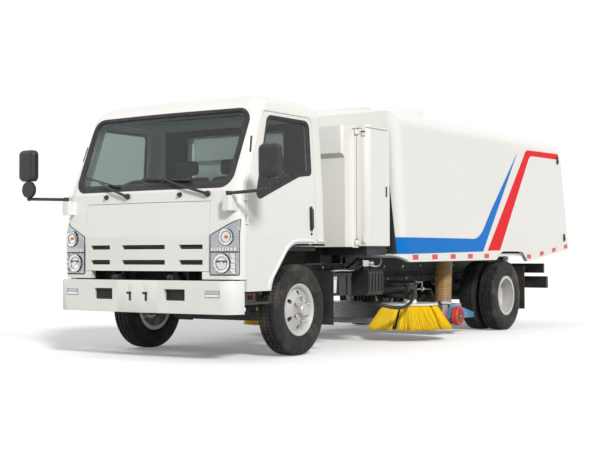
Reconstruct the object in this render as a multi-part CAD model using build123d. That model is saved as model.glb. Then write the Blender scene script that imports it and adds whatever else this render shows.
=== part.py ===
from build123d import *
from math import radians, tan
import os

# Street sweeper truck: cab-over chassis, suction sweeper body, two side brooms.
# Modelled from the front axle: +X to the truck's left, -Y forward, +Z up, mm.
# Every part is moved back by MID_Y at the end, so the origin is the middle of the ground outline.

# Overall sizes
FRONT_OVERHANG = 1110
REAR_OVERHANG = 1790
WHEELBASE = 4200
MID_Y = (WHEELBASE + REAR_OVERHANG - FRONT_OVERHANG) / 2
FIT = 0.05
GAP = 5

# Wheels
TYRE_R = 405
TYRE_W = 212
RIM_SEAT_R = 206
RIM_FLANGE_R = 231
RIM_HALF_W = 86
FRONT_WHEEL_X = 840
REAR_WHEEL_X = 825
DUAL_HALF = 125
HAND_HOLES = 6
HAND_HOLE_PITCH_R = 152
HAND_HOLE_R = 21
AXLE_Z = TYRE_R

# Steering
KINGPIN_X = 715
KINGPIN_R = 20
SPINDLE_R = 30
REAR_SPINDLE_R = 45

# Frame
RAIL_OUT = 425
RAIL_IN = 360
RAIL_T = 7
RAIL_BOTTOM = 595
RAIL_TOP = 800
RAIL_FRONT = -930
RAIL_REAR = WHEELBASE + 1340
RUNNER_TOP = 862
RUNNER_FRONT = 1600
TOW_R = 25

# Cab
CAB_REAR = 330
CAB_WALL = 55
CAB_BOW = 60
CAB_BOW_R = 5000
CAB_REAR_R = 70
CAB_BOTTOM = 590
FRONT_PANEL_BOTTOM = 690
ARCH_TOP = 990
ARCH_FRONT = -540
CAB_HINGE_Y = -1020
CAB_HINGE_Z = 700
FOOT_Z = 815
DOOR_FRONT = -880
DOOR_REAR = 150
DOOR_TOP = 2112
DOOR_HINGE_X = 1008
DOOR_HINGES = [1190, 1385]
DOOR_PIN_R = 6
GLASS_IN = 14
GLASS_T = 6
LID_TOP = 1342
LID_BOTTOM = 757
LID_HALF = 695
LENS_T = 8
SLAT_BACK = 24
# Bottom and top of each row of grille slots, half width of the middle slot, ends of a side slot
GRILLE_ROWS = [(942, 979), (811, 851)]
GRILLE_MID = 245
GRILLE_SIDE = (390, 635)
# X, Z and radius of each lamp's reflectors
REFLECTORS = [(812, 821, 76), (860, 984, 48)]

# Height, half width, front face, rear face, front corner radius
CAB_SECTIONS = [
    (590, 1000, -1042, 330, 110),
    (1050, 1004, -1042, 330, 120),
    (1425, 994, -1006, 330, 130),
    (2130, 952, -722, 330, 120),
    (2190, 930, -676, 318, 120),
    (2235, 885, -620, 290, 120),
    (2262, 800, -530, 230, 110),
]

# Cab fittings
STEER_X = -450
STEER_R = 205
MIRROR_X = 1363
MIRROR_HALF = 97

# Front bumper
BUMPER_FRONT = -FRONT_OVERHANG
BUMPER_REAR = -912
BUMPER_HALF = 1000
BUMPER_BOTTOM = 405
BUMPER_TOP = 680
BUMPER_T = 40
BUMPER_R = 150
PLATE_HOLE_X = 90
PLATE_HOLE_Z = 590
PLATE_HOLE_R = 4

# Side tanks and flaps
FRONT_FLAP_Y = 505
TANK_RIBS = 5

# Power compartment
POD_HALF = 1070
POD_FRONT = 955
POD_REAR = 1370
POD_BOTTOM = 970
POD_TOP = 2130
POD_WALL = 30
POD_R = 60
POD_HINGE_X = 939
POD_PIN_R = 8
NOSE_HALF = 900
NOSE_FRONT = 770
NOSE_STEP = 40
NOSE_STEP_Z = 1810

# Hopper
HOPPER_HALF = 1120
HOPPER_WALL = 45
HOPPER_FRONT_LOW = 1520
HOPPER_FRONT_HIGH = 1395
HOPPER_R = 120
HOPPER_ROOF_R = 150
HOPPER_EDGE_Z = 2305
HOPPER_CROWN_Z = 2385
HOPPER_SPLIT = 1680
FLOOR_Z = 868
FLOOR_T = 32
TIP_Y = RAIL_REAR - 40
TIP_Z = 835
TIP_PIN_R = 18
GATE_BOTTOM_Y = WHEELBASE + REAR_OVERHANG
GATE_BOTTOM_Z = 950
GATE_TOP_Z = 2150
GATE_LEAN = 290 / 1280
GATE_T = 70
GATE_PIN_R = 10
COWL_HALF = 800
COWL_FRONT = 1500
COWL_REAR = 2580
COWL_TOP = 2490

# Lift rams
RAM_X = 230
RAM_BASE = (WHEELBASE - 1450, 600)
RAM_EYE = (WHEELBASE - 150, 800)
RAM_R = 55
ROD_R = 28
RAM_PIN_R = 16

# Sweep gear
BROOM_X = 810
BROOM_Y = WHEELBASE - 1955
BROOM_TIP_R = 452
BROOM_TIP_Z = 112
BROOM_PLATE_R = 297
BROOM_PLATE_Z = 364
BROOM_SHAFT_R = 20
TUFTS = 24
TUFT_GAP = 8
TUFT_ROOT = 45
ARM_X = 490
ARM_Y = BROOM_Y - 445
NOZZLE_HALF = 850
NOZZLE_AHEAD = 1350
NOZZLE_LENGTH = 580
NOZZLE_FRONT = WHEELBASE - NOZZLE_AHEAD
NOZZLE_REAR = NOZZLE_FRONT + NOZZLE_LENGTH
NOZZLE_BOTTOM = 110
NOZZLE_TOP = 340
HOSE_R = 95
HOSE_WALL = 12
HOSE_RIB = 7
HOSE_RIBS = 12
HOSE_LOW = (815, NOZZLE_FRONT + 145, NOZZLE_TOP)
HOSE_HIGH = (810, NOZZLE_FRONT + 195, 860)
# Feed hose of a broom's motor: places from the broom's axis, height from the ground
FEED_R = 17
FEED_PORT = 25
FEED_HOSE = [(52, -79, 505), (105, -159, 522), (172, -241, 510), (224, -329, 458), (242, -433, 398),
             (234, -545, 362), (200, -651, 358), (136, -733, 378), (48, -777, 400), (-50, -769, 410),
             (-138, -715, 414), (-206, -633, 424), (-246, -555, 456), (-288, -498, 500)]
CASTER_X = 905
CASTER_Y = NOZZLE_FRONT + 325
CASTER_R = 103
CASTER_W = 70
CASTER_AXLE_R = 15


def block(x, y, z):
    size = Box(x[1] - x[0], y[1] - y[0], z[1] - z[0])
    return Pos((x[0] + x[1]) / 2, (y[0] + y[1]) / 2, (z[0] + z[1]) / 2) * size


def face_of(points, radii=0):
    if radii:
        return make_face(FilletPolyline(*points, radius=radii, close=True))
    return make_face(Polyline(*points, close=True))


def across(points, x, radii=0):
    # A side outline of (y, z) points pushed along X
    plane = Plane(origin=(x[0], 0, 0), x_dir=(0, 1, 0), z_dir=(1, 0, 0))
    return extrude(plane * face_of(points, radii), x[1] - x[0])


def along(points, y, radii=0):
    # A front outline of (x, z) points pushed along Y
    plane = Plane(origin=(0, y[1], 0), x_dir=(1, 0, 0), z_dir=(0, -1, 0))
    return extrude(plane * face_of(points, radii), y[1] - y[0])


def upward(points, z, radii=0):
    # A plan outline of (x, y) points pushed along Z
    plane = Plane(origin=(0, 0, z[0]))
    return extrude(plane * face_of(points, radii), z[1] - z[0])


def lathe_x(points, at):
    # A profile of (x, radius) points turned about the X axis through a point
    return Pos(*at) * revolve(face_of(points), Axis.X)


def rod(start, end, radius):
    line = Vector(*end) - Vector(*start)
    plane = Plane(origin=start, z_dir=line)
    return plane * Cylinder(radius, line.length, align=(Align.CENTER, Align.CENTER, Align.MIN))


def rod_x(x, y, z, radius):
    return rod((x[0], y, z), (x[1], y, z), radius)


def rod_z(x, y, z, radius):
    return rod((x, y, z[0]), (x, y, z[1]), radius)


def flip(shape):
    return mirror(shape, Plane.YZ)


def both(shape):
    return shape + flip(shape)


def hose_line(points):
    # Straight runs joined by arcs as large as the runs allow
    radii = []
    for a, b, c in zip(points, points[1:], points[2:]):
        run = min((b - a).length, (c - b).length)
        radii.append(0.45 * run / tan(radians((b - a).get_angle(c - b) / 2)))
    print("hose bend radii", [round(radius) for radius in radii])
    return FilletPolyline(*points, radius=radii)


def tyre(at):
    half = TYRE_W / 2
    wall = [(RIM_HALF_W - 10.5, RIM_SEAT_R), (RIM_HALF_W - 10.5, RIM_FLANGE_R + 1), (88, 242),
            (half, 312), (half - 3, 345), (half - 14, 384), (half - 26, TYRE_R - 6)]
    crown = [(40, TYRE_R), (-40, TYRE_R)]
    return lathe_x(wall + crown + [(-x, r) for x, r in reversed(wall)], at)


def front_rim(at):
    seat = RIM_SEAT_R - 0.3
    edge = RIM_HALF_W
    profile = [(edge, RIM_FLANGE_R), (edge, 221), (70, 200), (46, 192), (92, 118), (96, 76),
               (98, 62), (138, 58), (148, 48), (148, 0), (118, 0), (118, SPINDLE_R + FIT),
               (-40, SPINDLE_R + FIT), (-40, 118), (78, 118), (36, 188), (20, 196), (-edge, 196),
               (-edge, RIM_FLANGE_R), (10 - edge, RIM_FLANGE_R), (10 - edge, seat),
               (edge - 10, seat), (edge - 10, RIM_FLANGE_R)]
    rim = revolve(face_of(profile), Axis.X)
    for n in range(HAND_HOLES):
        rim -= Rot(n * 360 / HAND_HOLES, 0, 0) * rod_x((30, 110), 0, HAND_HOLE_PITCH_R, HAND_HOLE_R)
    return Pos(*at) * rim


def rear_rims(at):
    seat = RIM_SEAT_R - 0.3
    out = DUAL_HALF + RIM_HALF_W
    inn = DUAL_HALF - RIM_HALF_W
    flange = RIM_FLANGE_R
    profile = [(out, flange), (out - 10, flange), (out - 10, seat), (inn + 10, seat), (inn + 10, flange),
               (inn, flange), (inn, 196), (58, 196), (0, 124), (-58, 196), (-inn, 196), (-inn, flange),
               (-inn - 10, flange), (-inn - 10, seat), (10 - out, seat), (10 - out, flange),
               (-out, flange), (-out, 196), (-74, 196), (-14, 118), (-200, 118),
               (-200, REAR_SPINDLE_R + FIT), (62, REAR_SPINDLE_R + FIT), (62, 0), (96, 0), (96, 58),
               (90, 68), (12, 72), (12, 116), (74, 196), (out, 196)]
    return lathe_x(profile, at)


def leaf_spring(y, half, z_eye, z_mid, depth):
    top = ThreePointArc((y - half, z_eye), (y, z_mid), (y + half, z_eye))
    low = ThreePointArc((y + half, z_eye - 18), (y, z_mid - depth), (y - half, z_eye - 18))
    ring = [top, Line(top @ 1, low @ 0), low, Line(low @ 1, top @ 0)]
    plane = Plane(origin=(RAIL_IN + 5, 0, 0), x_dir=(0, 1, 0), z_dir=(1, 0, 0))
    width = (RAIL_IN + 5, RAIL_OUT - 5)
    spring = extrude(plane * make_face(ring), width[1] - width[0])
    for end in (y - half, y + half - 60):
        spring += block(width, (end, end + 60), (z_eye - 18, RAIL_BOTTOM))
    return spring


def frame_parts():
    web = [(RAIL_OUT, RAIL_BOTTOM), (RAIL_OUT, RAIL_TOP), (RAIL_IN, RAIL_TOP), (RAIL_IN, RAIL_TOP - RAIL_T),
           (RAIL_OUT - RAIL_T, RAIL_TOP - RAIL_T), (RAIL_OUT - RAIL_T, RAIL_BOTTOM + RAIL_T),
           (RAIL_IN, RAIL_BOTTOM + RAIL_T), (RAIL_IN, RAIL_BOTTOM)]
    rail = along(web, (RAIL_FRONT, RAIL_REAR))
    rail += block((RAIL_IN + 15, RAIL_OUT - 10), (RUNNER_FRONT, RAIL_REAR), (RAIL_TOP, RUNNER_TOP))
    rail += rod_x((RAIL_OUT - 10, RAIL_OUT + 50), TIP_Y, TIP_Z, TIP_PIN_R)
    inner = RAIL_OUT - RAIL_T
    # Front edge, depth, bottom, top
    members = [(RAIL_FRONT, 60, 605, 665), (1050, 60, 660, 740), (ARM_Y + 100, 70, 660, 740),
               (RAM_BASE[0] - 160, 80, 620, 760), (WHEELBASE + 500, 70, 660, 740),
               (RAIL_REAR - 70, 70, 620, 790)]
    cross = Part()
    for y, depth, low, high in members:
        cross += block((-inner, inner), (y, y + depth), (low, high))
    # Cab hinge ears and pins
    ear = block((326, 346), (CAB_HINGE_Y - 24, RAIL_FRONT + 60), (620, CAB_HINGE_Z + 20))
    ear += rod_x((276, 346), CAB_HINGE_Y, CAB_HINGE_Z, 12)
    # Ram base clevis
    base_y, base_z = RAM_BASE
    ram = rod_x((RAM_X - 50, RAM_X + 50), base_y, base_z, RAM_PIN_R)
    for x in (RAM_X - 50, RAM_X + 38):
        ram += block((x, x + 12), (base_y - 110, base_y + 30), (base_z - 30, base_z + 50))
    # Broom arm pivot
    ear_z = RAIL_BOTTOM + 45
    post = block((RAIL_OUT, RAIL_OUT + 14), (ARM_Y - 70, ARM_Y + 70), (ear_z - 30, ear_z + 90))
    post += block((RAIL_OUT, ARM_X + 45), (ARM_Y - 45, ARM_Y + 45), (ear_z, ear_z + 20))
    post += rod_z(ARM_X, ARM_Y, (455, ear_z), BROOM_SHAFT_R)
    # Rear tow eye
    tow = block((-60, 60), (RAIL_REAR, RAIL_REAR + 115), (615, 640))
    tow = fillet(tow.edges().filter_by(Axis.Z).group_by(Axis.Y)[-1], 55)
    tow -= rod_z(0, RAIL_REAR + 66, (600, 680), TOW_R)
    cross += both(ear + ram) + tow
    return {"frame_rails": both(rail), "frame_crossmembers": cross + both(post)}


def axle_parts():
    top = AXLE_Z + 40
    beam = along([(-690, top), (-560, top), (-470, top - 70), (470, top - 70), (560, top), (690, top),
                  (690, top - 80), (545, top - 80), (455, top - 150), (-455, top - 150), (-545, top - 80),
                  (-690, top - 80)], (-38, 38))
    pads = leaf_spring(0, 560, 575, 480, 70)
    pads += block((RAIL_IN + 5, RAIL_OUT - 5), (-45, 45), (top - 72, 440))
    boss = rod_z(KINGPIN_X, 0, (AXLE_Z - 45, AXLE_Z + 45), 42)
    front = beam + both(pads + boss)
    for side in (-1, 1):
        front -= rod_z(side * KINGPIN_X, 0, (AXLE_Z - 60, AXLE_Z + 60), KINGPIN_R + FIT)
    # Knuckle around the boss, with the wheel spindle
    knuckle = rod_z(KINGPIN_X, 0, (AXLE_Z - 85, AXLE_Z + 85), KINGPIN_R)
    for low in (AXLE_Z - 85, AXLE_Z + 50):
        knuckle += block((KINGPIN_X - 40, 790), (-42, 42), (low, low + 35))
    knuckle += block((766, 792), (-42, 42), (AXLE_Z - 85, AXLE_Z + 85))
    knuckle += rod_x((780, FRONT_WHEEL_X + 112), 0, AXLE_Z, SPINDLE_R)
    knuckle += block((KINGPIN_X - 30, KINGPIN_X + 20), (30, 190), (AXLE_Z - 85, AXLE_Z - 60))
    # Rear axle, springs and propeller shaft
    y = WHEELBASE
    rear = rod_x((-600, 600), y, AXLE_Z, 60) + Pos(0, y, AXLE_Z) * Sphere(165)
    rear += rod((0, y - 100, AXLE_Z), (0, y - 300, AXLE_Z + 15), 75)
    shaft = rod((0, 940, 541), (0, y - 280, AXLE_Z + 14), 42)
    rear += shaft & block((-100, 100), (980, y), (0, 1000))
    half = leaf_spring(y, 640, 575, 535, 70)
    half += block((RAIL_IN + 5, RAIL_OUT - 5), (y - 50, y + 50), (AXLE_Z + 20, 490))
    half += rod_x((590, 604), y, AXLE_Z, 115)
    half += rod_x((590, REAR_WHEEL_X + 55), y, AXLE_Z, REAR_SPINDLE_R)
    rear += both(half)
    return {"front_axle": front, "knuckle_left": knuckle, "knuckle_right": flip(knuckle), "rear_axle": rear}


def wheel_parts():
    parts = {}
    front = (FRONT_WHEEL_X, 0, AXLE_Z)
    rear = (REAR_WHEEL_X, WHEELBASE, AXLE_Z)
    dual = tyre((REAR_WHEEL_X - DUAL_HALF, WHEELBASE, AXLE_Z))
    dual += tyre((REAR_WHEEL_X + DUAL_HALF, WHEELBASE, AXLE_Z))
    pieces = {"front_tyre": tyre(front), "front_rim": front_rim(front),
              "rear_tyres": dual, "rear_rims": rear_rims(rear)}
    for name, piece in pieces.items():
        parts[name + "_left"] = piece
        parts[name + "_right"] = flip(piece)
    return parts


def engine_parts():
    engine = block((-255, 255), (-430, 330), (485, 905))
    engine += block((-165, 165), (330, 980), (440, 690))
    engine += block((-RAIL_OUT + RAIL_T, RAIL_OUT - RAIL_T), (-60, 40), (615, 685))
    sweeper = block((-430, 430), (1015, 1325), (RAIL_TOP, 1450))
    return {"engines": engine + sweeper}


def cab_solid(inset, low, high):
    sections = []
    for z, half, front, rear, corner in CAB_SECTIONS:
        w = half - inset
        f = front + inset
        r = rear - inset
        points = [(w, r), (w, f + CAB_BOW), (0, f), (-w, f + CAB_BOW), (-w, r)]
        radii = [CAB_REAR_R, corner, CAB_BOW_R, corner, CAB_REAR_R]
        sections.append(Plane(origin=(0, 0, z)) * face_of(points, radii))
    solid = loft(sections, ruled=True)
    return solid & block((-2000, 2000), (-2000, 2000), (low, high))


def door_outline(grow):
    g = grow
    return [(DOOR_FRONT - g, CAB_BOTTOM - 40), (DOOR_FRONT - g, 1385), (-575 - g, DOOR_TOP + g),
            (DOOR_REAR + g, DOOR_TOP + g), (DOOR_REAR + g, ARCH_TOP - 60), (ARCH_FRONT, CAB_BOTTOM - 40)]


def cab_parts():
    outer = cab_solid(0, CAB_BOTTOM, 3000)
    # The inner space is open at the bottom, and the roof is 45 thick
    inner = cab_solid(CAB_WALL, 0, 2216)
    shell = outer - inner
    arch = [(ARCH_FRONT, 0), (ARCH_FRONT, CAB_BOTTOM + 60), (ARCH_FRONT + 300, ARCH_TOP),
            (CAB_REAR + 200, ARCH_TOP), (CAB_REAR + 200, 0)]
    shell -= across(arch, (-1500, 1500), [0, 250, 250, 0, 0])
    shell -= block((-1500, 1500), (-2000, DOOR_FRONT - GAP), (0, FRONT_PANEL_BOTTOM))
    # Window openings
    screen = [(-872, 1462), (872, 1462), (884, 2126), (-884, 2126)]
    screen_hole = along(screen, (-1500, -480), 110)
    shell -= screen_hole
    back = [(-560, 1560), (560, 1560), (560, 2020), (-560, 2020)]
    back_hole = along(back, (200, 600), 60)
    shell -= back_hole
    window = [(-752, 1345), (-520, 2074), (100, 2074), (100, 1605), (-90, 1585)]
    window_hole = across(window, (700, 1500), [40, 70, 60, 40, 300])
    shell -= both(window_hole)
    # Doors
    leaf = across(door_outline(0), (700, 1500), [0, 250, 60, 60, 0, 0])
    cut = across(door_outline(GAP), (700, 1500), [0, 250, 60, 60, 0, 0])
    door = shell & leaf
    body = shell - both(cut)
    # Lower opening, lid and lamps in the front panel
    body -= block((-630, 630), (-1200, -930), (0, LID_BOTTOM - 4))
    lid_box = block((-LID_HALF, LID_HALF), (-1200, -850), (LID_BOTTOM, LID_TOP - 4))
    lid = body & lid_box
    body -= block((-LID_HALF - 4, LID_HALF + 4), (-1200, -850), (LID_BOTTOM - 4, LID_TOP))
    # Grille slots, with slats set back in them
    slat = cab_solid(SLAT_BACK, 0, 3000) - cab_solid(SLAT_BACK + 16, 0, 3000)
    bars = Part()
    for low, high in GRILLE_ROWS:
        third = (high - low) / 3
        middle = block((-GRILLE_MID, GRILLE_MID), (-1200, -850), (low, high))
        lid -= middle + both(block(GRILLE_SIDE, (-1200, -850), (low, high)))
        for z in (low + third, high - third):
            bars += block((-GRILLE_MID, GRILLE_MID), (-1200, -850), (z - 3, z + 3))
            bars += both(block(GRILLE_SIDE, (-1200, -850), (z - 3, z + 3)))
    slats = bars & slat
    lamp = [(LID_HALF + 8, 722), (1100, 722), (1100, 1150), (LID_HALF + 8, 985)]
    lamp_hole = along(lamp, (-1300, DOOR_FRONT - 20), [20, 0, 0, 20])
    lamps = body & both(lamp_hole)
    body -= both(lamp_hole)
    lens = lamps - cab_solid(LENS_T, 0, 3000)
    case = lamps & cab_solid(LENS_T, 0, 3000)
    inner_edge = LID_HALF + 22
    # Chamber outlines
    chambers = [[(inner_edge, 738), (930, 738), (930, 905), (inner_edge, 905)],
                [(inner_edge, 925), (930, 925), (930, 1058), (inner_edge, 970)]]
    deep = cab_solid(CAB_WALL - 8, 0, 3000)
    inside = cab_solid(CAB_WALL, 0, 3000)
    for outline in chambers:
        case -= both(along(outline, (-1300, -850), 12)) - deep
    for x, z, radius in REFLECTORS:
        face = -1042 + CAB_BOW * x / 1000 + LENS_T + 6
        dish = rod((x, face, z), (x, face + 40, z), radius)
        bowl = Cone(radius - 22, radius - 4, 34, align=(Align.CENTER, Align.CENTER, Align.MAX))
        dish -= Plane(origin=(x, face, z), z_dir=(0, -1, 0)) * bowl
        dish += rod((x, face + 14, z), (x, face + 40, z), 9)
        case += both(dish - inside)
    front = body & block((-1500, 1500), (-2000, -700), (0, 1462))
    back_wall = body & block((-1500, 1500), (0, 1000), (0, DOOR_TOP + GAP))
    upper = block((-1500, 1500), (-2000, 1000), (1462, 3000))
    roof = body & (upper - block((-1500, 1500), (0, 1000), (0, DOOR_TOP + GAP)))
    # Door hinges: two ears and a pin on the corner, a knuckle on the door
    hx, hy = DOOR_HINGE_X, DOOR_FRONT - 2
    for z in DOOR_HINGES:
        room = rod_z(hx, hy, (z - 52, z + 52), DOOR_PIN_R + 10)
        door -= room
        front -= both(room)
        knuckle = rod_z(hx, hy, (z - 22, z + 22), DOOR_PIN_R + 4)
        knuckle += block((hx - 22, hx), (hy + 3, hy + 45), (z - 20, z + 20))
        door += knuckle - rod_z(hx, hy, (z - 60, z + 60), DOOR_PIN_R + FIT)
        fixed = rod_z(hx, hy, (z - 45, z + 45), DOOR_PIN_R)
        for low in (z - 45, z + 28):
            fixed += rod_z(hx, hy, (low, low + 17), DOOR_PIN_R + 3)
            fixed += block((hx - 34, hx), (hy - 17, hy - 4), (low, low + 17))
        front += both(fixed)
    # Mirror pedestals on the front corners
    pedestal = block((860, 955), (-1048, -930), (1255, 1378))
    pedestal = fillet(pedestal.edges().filter_by(Axis.Z), 25)
    front += both(pedestal)
    # Glass
    pane = cab_solid(GLASS_IN, 0, 3000) - cab_solid(GLASS_IN + GLASS_T, 0, 3000)
    glass = (pane & along(screen, (-1500, -480), 110)) + (pane & along(back, (200, 600), 60))
    door_glass = pane & window_hole
    # Floor with the tilt lugs
    floor = across([(-1000, FOOT_Z), (-560, FOOT_Z), (-530, 925), (CAB_REAR, 925), (CAB_REAR, 965),
                    (-560, 965), (-590, FOOT_Z + 40), (-1000, FOOT_Z + 40)], (-925, 925))
    floor = floor & cab_solid(CAB_WALL + 0.3, 0, 3000)
    lug = block((280, 320), (CAB_HINGE_Y, -900), (CAB_HINGE_Z - 26, CAB_HINGE_Z + 26))
    lug += block((280, 320), (-950, -900), (CAB_HINGE_Z - 26, FOOT_Z + 20))
    lug += rod_x((280, 320), CAB_HINGE_Y, CAB_HINGE_Z, 26)
    floor += both(lug)
    for side in (-1, 1):
        floor -= rod_x((side * 300 - 40, side * 300 + 40), CAB_HINGE_Y, CAB_HINGE_Z, 12 + FIT)
    # Wheel arch liners and steps
    y0, y1 = ARCH_FRONT + 8, CAB_REAR - 10
    liner_out = [(y0, 480), (y0, CAB_BOTTOM + 62), (ARCH_FRONT + 303, ARCH_TOP - 8), (y1, ARCH_TOP - 8),
                 (y1, ARCH_TOP - 20), (ARCH_FRONT + 312, ARCH_TOP - 20), (y0 + 12, CAB_BOTTOM + 62),
                 (y0 + 12, 480)]
    liner = across(liner_out, (930, 990), [0, 240, 240, 0, 0, 232, 232, 0])
    liner += block((930, 985), (DOOR_REAR + 40, y1), (ARCH_TOP - 20, ARCH_TOP))
    step = block((760, 985), (-890, y0 + 12), (480, CAB_BOTTOM - GAP - 35))
    step -= block((790, 1000), (-860, y0 - 20), (500, CAB_BOTTOM))
    guards = liner + step
    guards += block((880, 900), (-890, y0), (480, FOOT_Z))
    return {"door_left": door, "door_right": flip(door), "front_lid": lid, "grille_slats": slats,
            "headlamps": lens, "lamp_housings": case, "cab_front": front,
            "cab_back": back_wall, "cab_roof": roof, "cab_glass": glass, "door_glass_left": door_glass,
            "door_glass_right": flip(door_glass), "cab_floor": floor, "wheel_arches": both(guards)}


def interior_parts():
    # Dashboard with a console down to the floor and a steering column on the right
    dash = across([(-900, 1120), (-900, 1330), (-830, 1400), (-690, 1385), (-640, 1300), (-660, 1120)],
                  (-830, 830))
    dash += block((-150, 150), (-890, -700), (FOOT_Z + 40, 1130))
    low = Vector(STEER_X, -700, 1180)
    hub = Vector(STEER_X, -470, 1400)
    line = (hub - low).normalized()
    dash += rod(tuple(low), tuple(hub - line * 45), 38)
    dash -= rod(tuple(hub - line * 160), tuple(hub), 15 + FIT)
    plane = Plane(origin=tuple(hub), z_dir=line)
    wheel = plane * Torus(STEER_R, 15)
    wheel += rod(tuple(hub - line * 150), tuple(hub + line * 20), 15)
    wheel += rod(tuple(hub - line * 30), tuple(hub + line * 22), 52)
    spoke = Pos(0, 0, -2) * Box(2 * STEER_R, 34, 14)
    wheel += plane * spoke
    # Low x, high x of each seat
    seats = Part()
    for x0, x1 in [(-740, -190), (-130, 740)]:
        seat = block((x0 + 40, x1 - 40), (-380, 40), (965, 1060))
        seat += block((x0, x1), (-430, 60), (1060, 1180))
        seat += across([(30, 1150), (80, 1790), (190, 1790), (170, 1060), (30, 1060)], (x0, x1))
        seats += seat
    return {"dashboard": dash, "steering_wheel": wheel, "seats": seats}


def mirror_parts():
    # Head centre heights and the round extra mirror on the driver's side
    parts = Part()
    for side, low, high, bar in [(1, 1500, 1775, 1395), (-1, 1572, 1860, 1395)]:
        faces = []
        for back, inset in [(76, 0), (32, 0), (10, 12), (0, 34)]:
            x0, x1 = MIRROR_X - MIRROR_HALF + inset, MIRROR_X + MIRROR_HALF - inset
            z0, z1 = low + inset, high - inset
            plane = Plane(origin=(0, BUMPER_FRONT + back, 0), x_dir=(1, 0, 0), z_dir=(0, -1, 0))
            faces.append(plane * face_of([(x0, z0), (x1, z0), (x1, z1), (x0, z1)], 48 - inset))
        head = loft(faces, ruled=True)
        elbow = (MIRROR_X - 10, -1066, bar + 15)
        arm = rod((920, -1020, bar), elbow, 14) + Pos(*elbow) * Sphere(19)
        arm += rod(elbow, (elbow[0], elbow[1], low + 40), 12)
        arm += rod_z(920, -1020, (1378, bar + 18), 24)
        if side < 0:
            arm += rod((elbow[0] - 8, elbow[1] + 9, 1495), (elbow[0] - 8, elbow[1] - 24, 1495), 75)
        piece = head + arm
        parts += piece if side > 0 else flip(piece)
    return {"mirrors": parts}


def bumper_parts():
    half = BUMPER_HALF
    bow = 45
    out = [(half, BUMPER_REAR), (half, BUMPER_FRONT + bow), (0, BUMPER_FRONT),
           (-half, BUMPER_FRONT + bow), (-half, BUMPER_REAR)]
    t = BUMPER_T
    inn = [(half - t, BUMPER_REAR + 50), (half - t, BUMPER_FRONT + bow + t), (0, BUMPER_FRONT + t),
           (-half + t, BUMPER_FRONT + bow + t), (-half + t, BUMPER_REAR + 50)]
    solid = upward(out, (BUMPER_BOTTOM, BUMPER_TOP), [0, BUMPER_R, 5000, BUMPER_R, 0])
    hollow = upward(inn, (0, 1000), [0, BUMPER_R - t, 5000, BUMPER_R - t, 0])
    wall = solid - hollow
    lamp_hole = block((715, 865), (-1300, -900), (540, 598))
    lamps = wall & both(block((715.3, 864.7), (-1300, -900), (540.3, 597.7)))
    wall -= both(lamp_hole)
    wall -= both(block((290, 510), (-1300, -900), (512, 607)))
    for x in (-PLATE_HOLE_X, PLATE_HOLE_X):
        wall -= rod((x, -1300, PLATE_HOLE_Z), (x, -900, PLATE_HOLE_Z), PLATE_HOLE_R)
    wall += both(block((RAIL_IN, RAIL_OUT), (BUMPER_FRONT + t + 10, RAIL_FRONT), (615, 672)))
    # Rear: under-run beam and lamp bar on two plates
    back = block((-950, 950), (RAIL_REAR + 100, RAIL_REAR + 160), (455, 605))
    back += block((-950, 950), (RAIL_REAR, RAIL_REAR + 40), (650, 770))
    back += both(block((RAIL_IN + 5, RAIL_OUT - 5), (RAIL_REAR, RAIL_REAR + 150), (470, 740)))
    lamps += both(block((650, 930), (RAIL_REAR + 40, RAIL_REAR + 66), (668, 752)))
    return {"front_bumper": wall, "chassis_lamps": lamps, "rear_bumper": back}


def side_parts():
    # Hydraulic tank on the left and fuel tank on the right, on the rails' outer webs
    rear = BROOM_Y - 625
    left = block((500, 850), (rear - 300, rear), (490, 740))
    left = fillet(left.edges().filter_by(Axis.Y), 30)
    left += block((RAIL_OUT, 510), (rear - 270, rear - 30), (620, 720))
    for n in range(TANK_RIBS):
        y = rear - 275 + n * 250 / (TANK_RIBS - 1)
        left += block((840, 859), (y - 9, y + 9), (525, 705))
    front, rear = FRONT_FLAP_Y + 120, BROOM_Y - 605
    right = block((-880, -490), (front, rear), (470, 760))
    right = fillet(right.edges().filter_by(Axis.Y), 40)
    right += block((-500, -RAIL_OUT), (front + 40, rear - 40), (620, 740))
    flaps = Part()
    for y, x0, x1, low, bar in [(FRONT_FLAP_Y, 700, 960, 245, 740), (WHEELBASE + 470, 590, 1062, 230, 745)]:
        flap = block((x0, x1), (y, y + 8), (low, bar))
        flap += block((RAIL_OUT, x1), (y, y + 24), (bar - 30, bar))
        flaps += both(flap)
    return {"side_tanks": left + right, "mudflaps": flaps}


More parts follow.
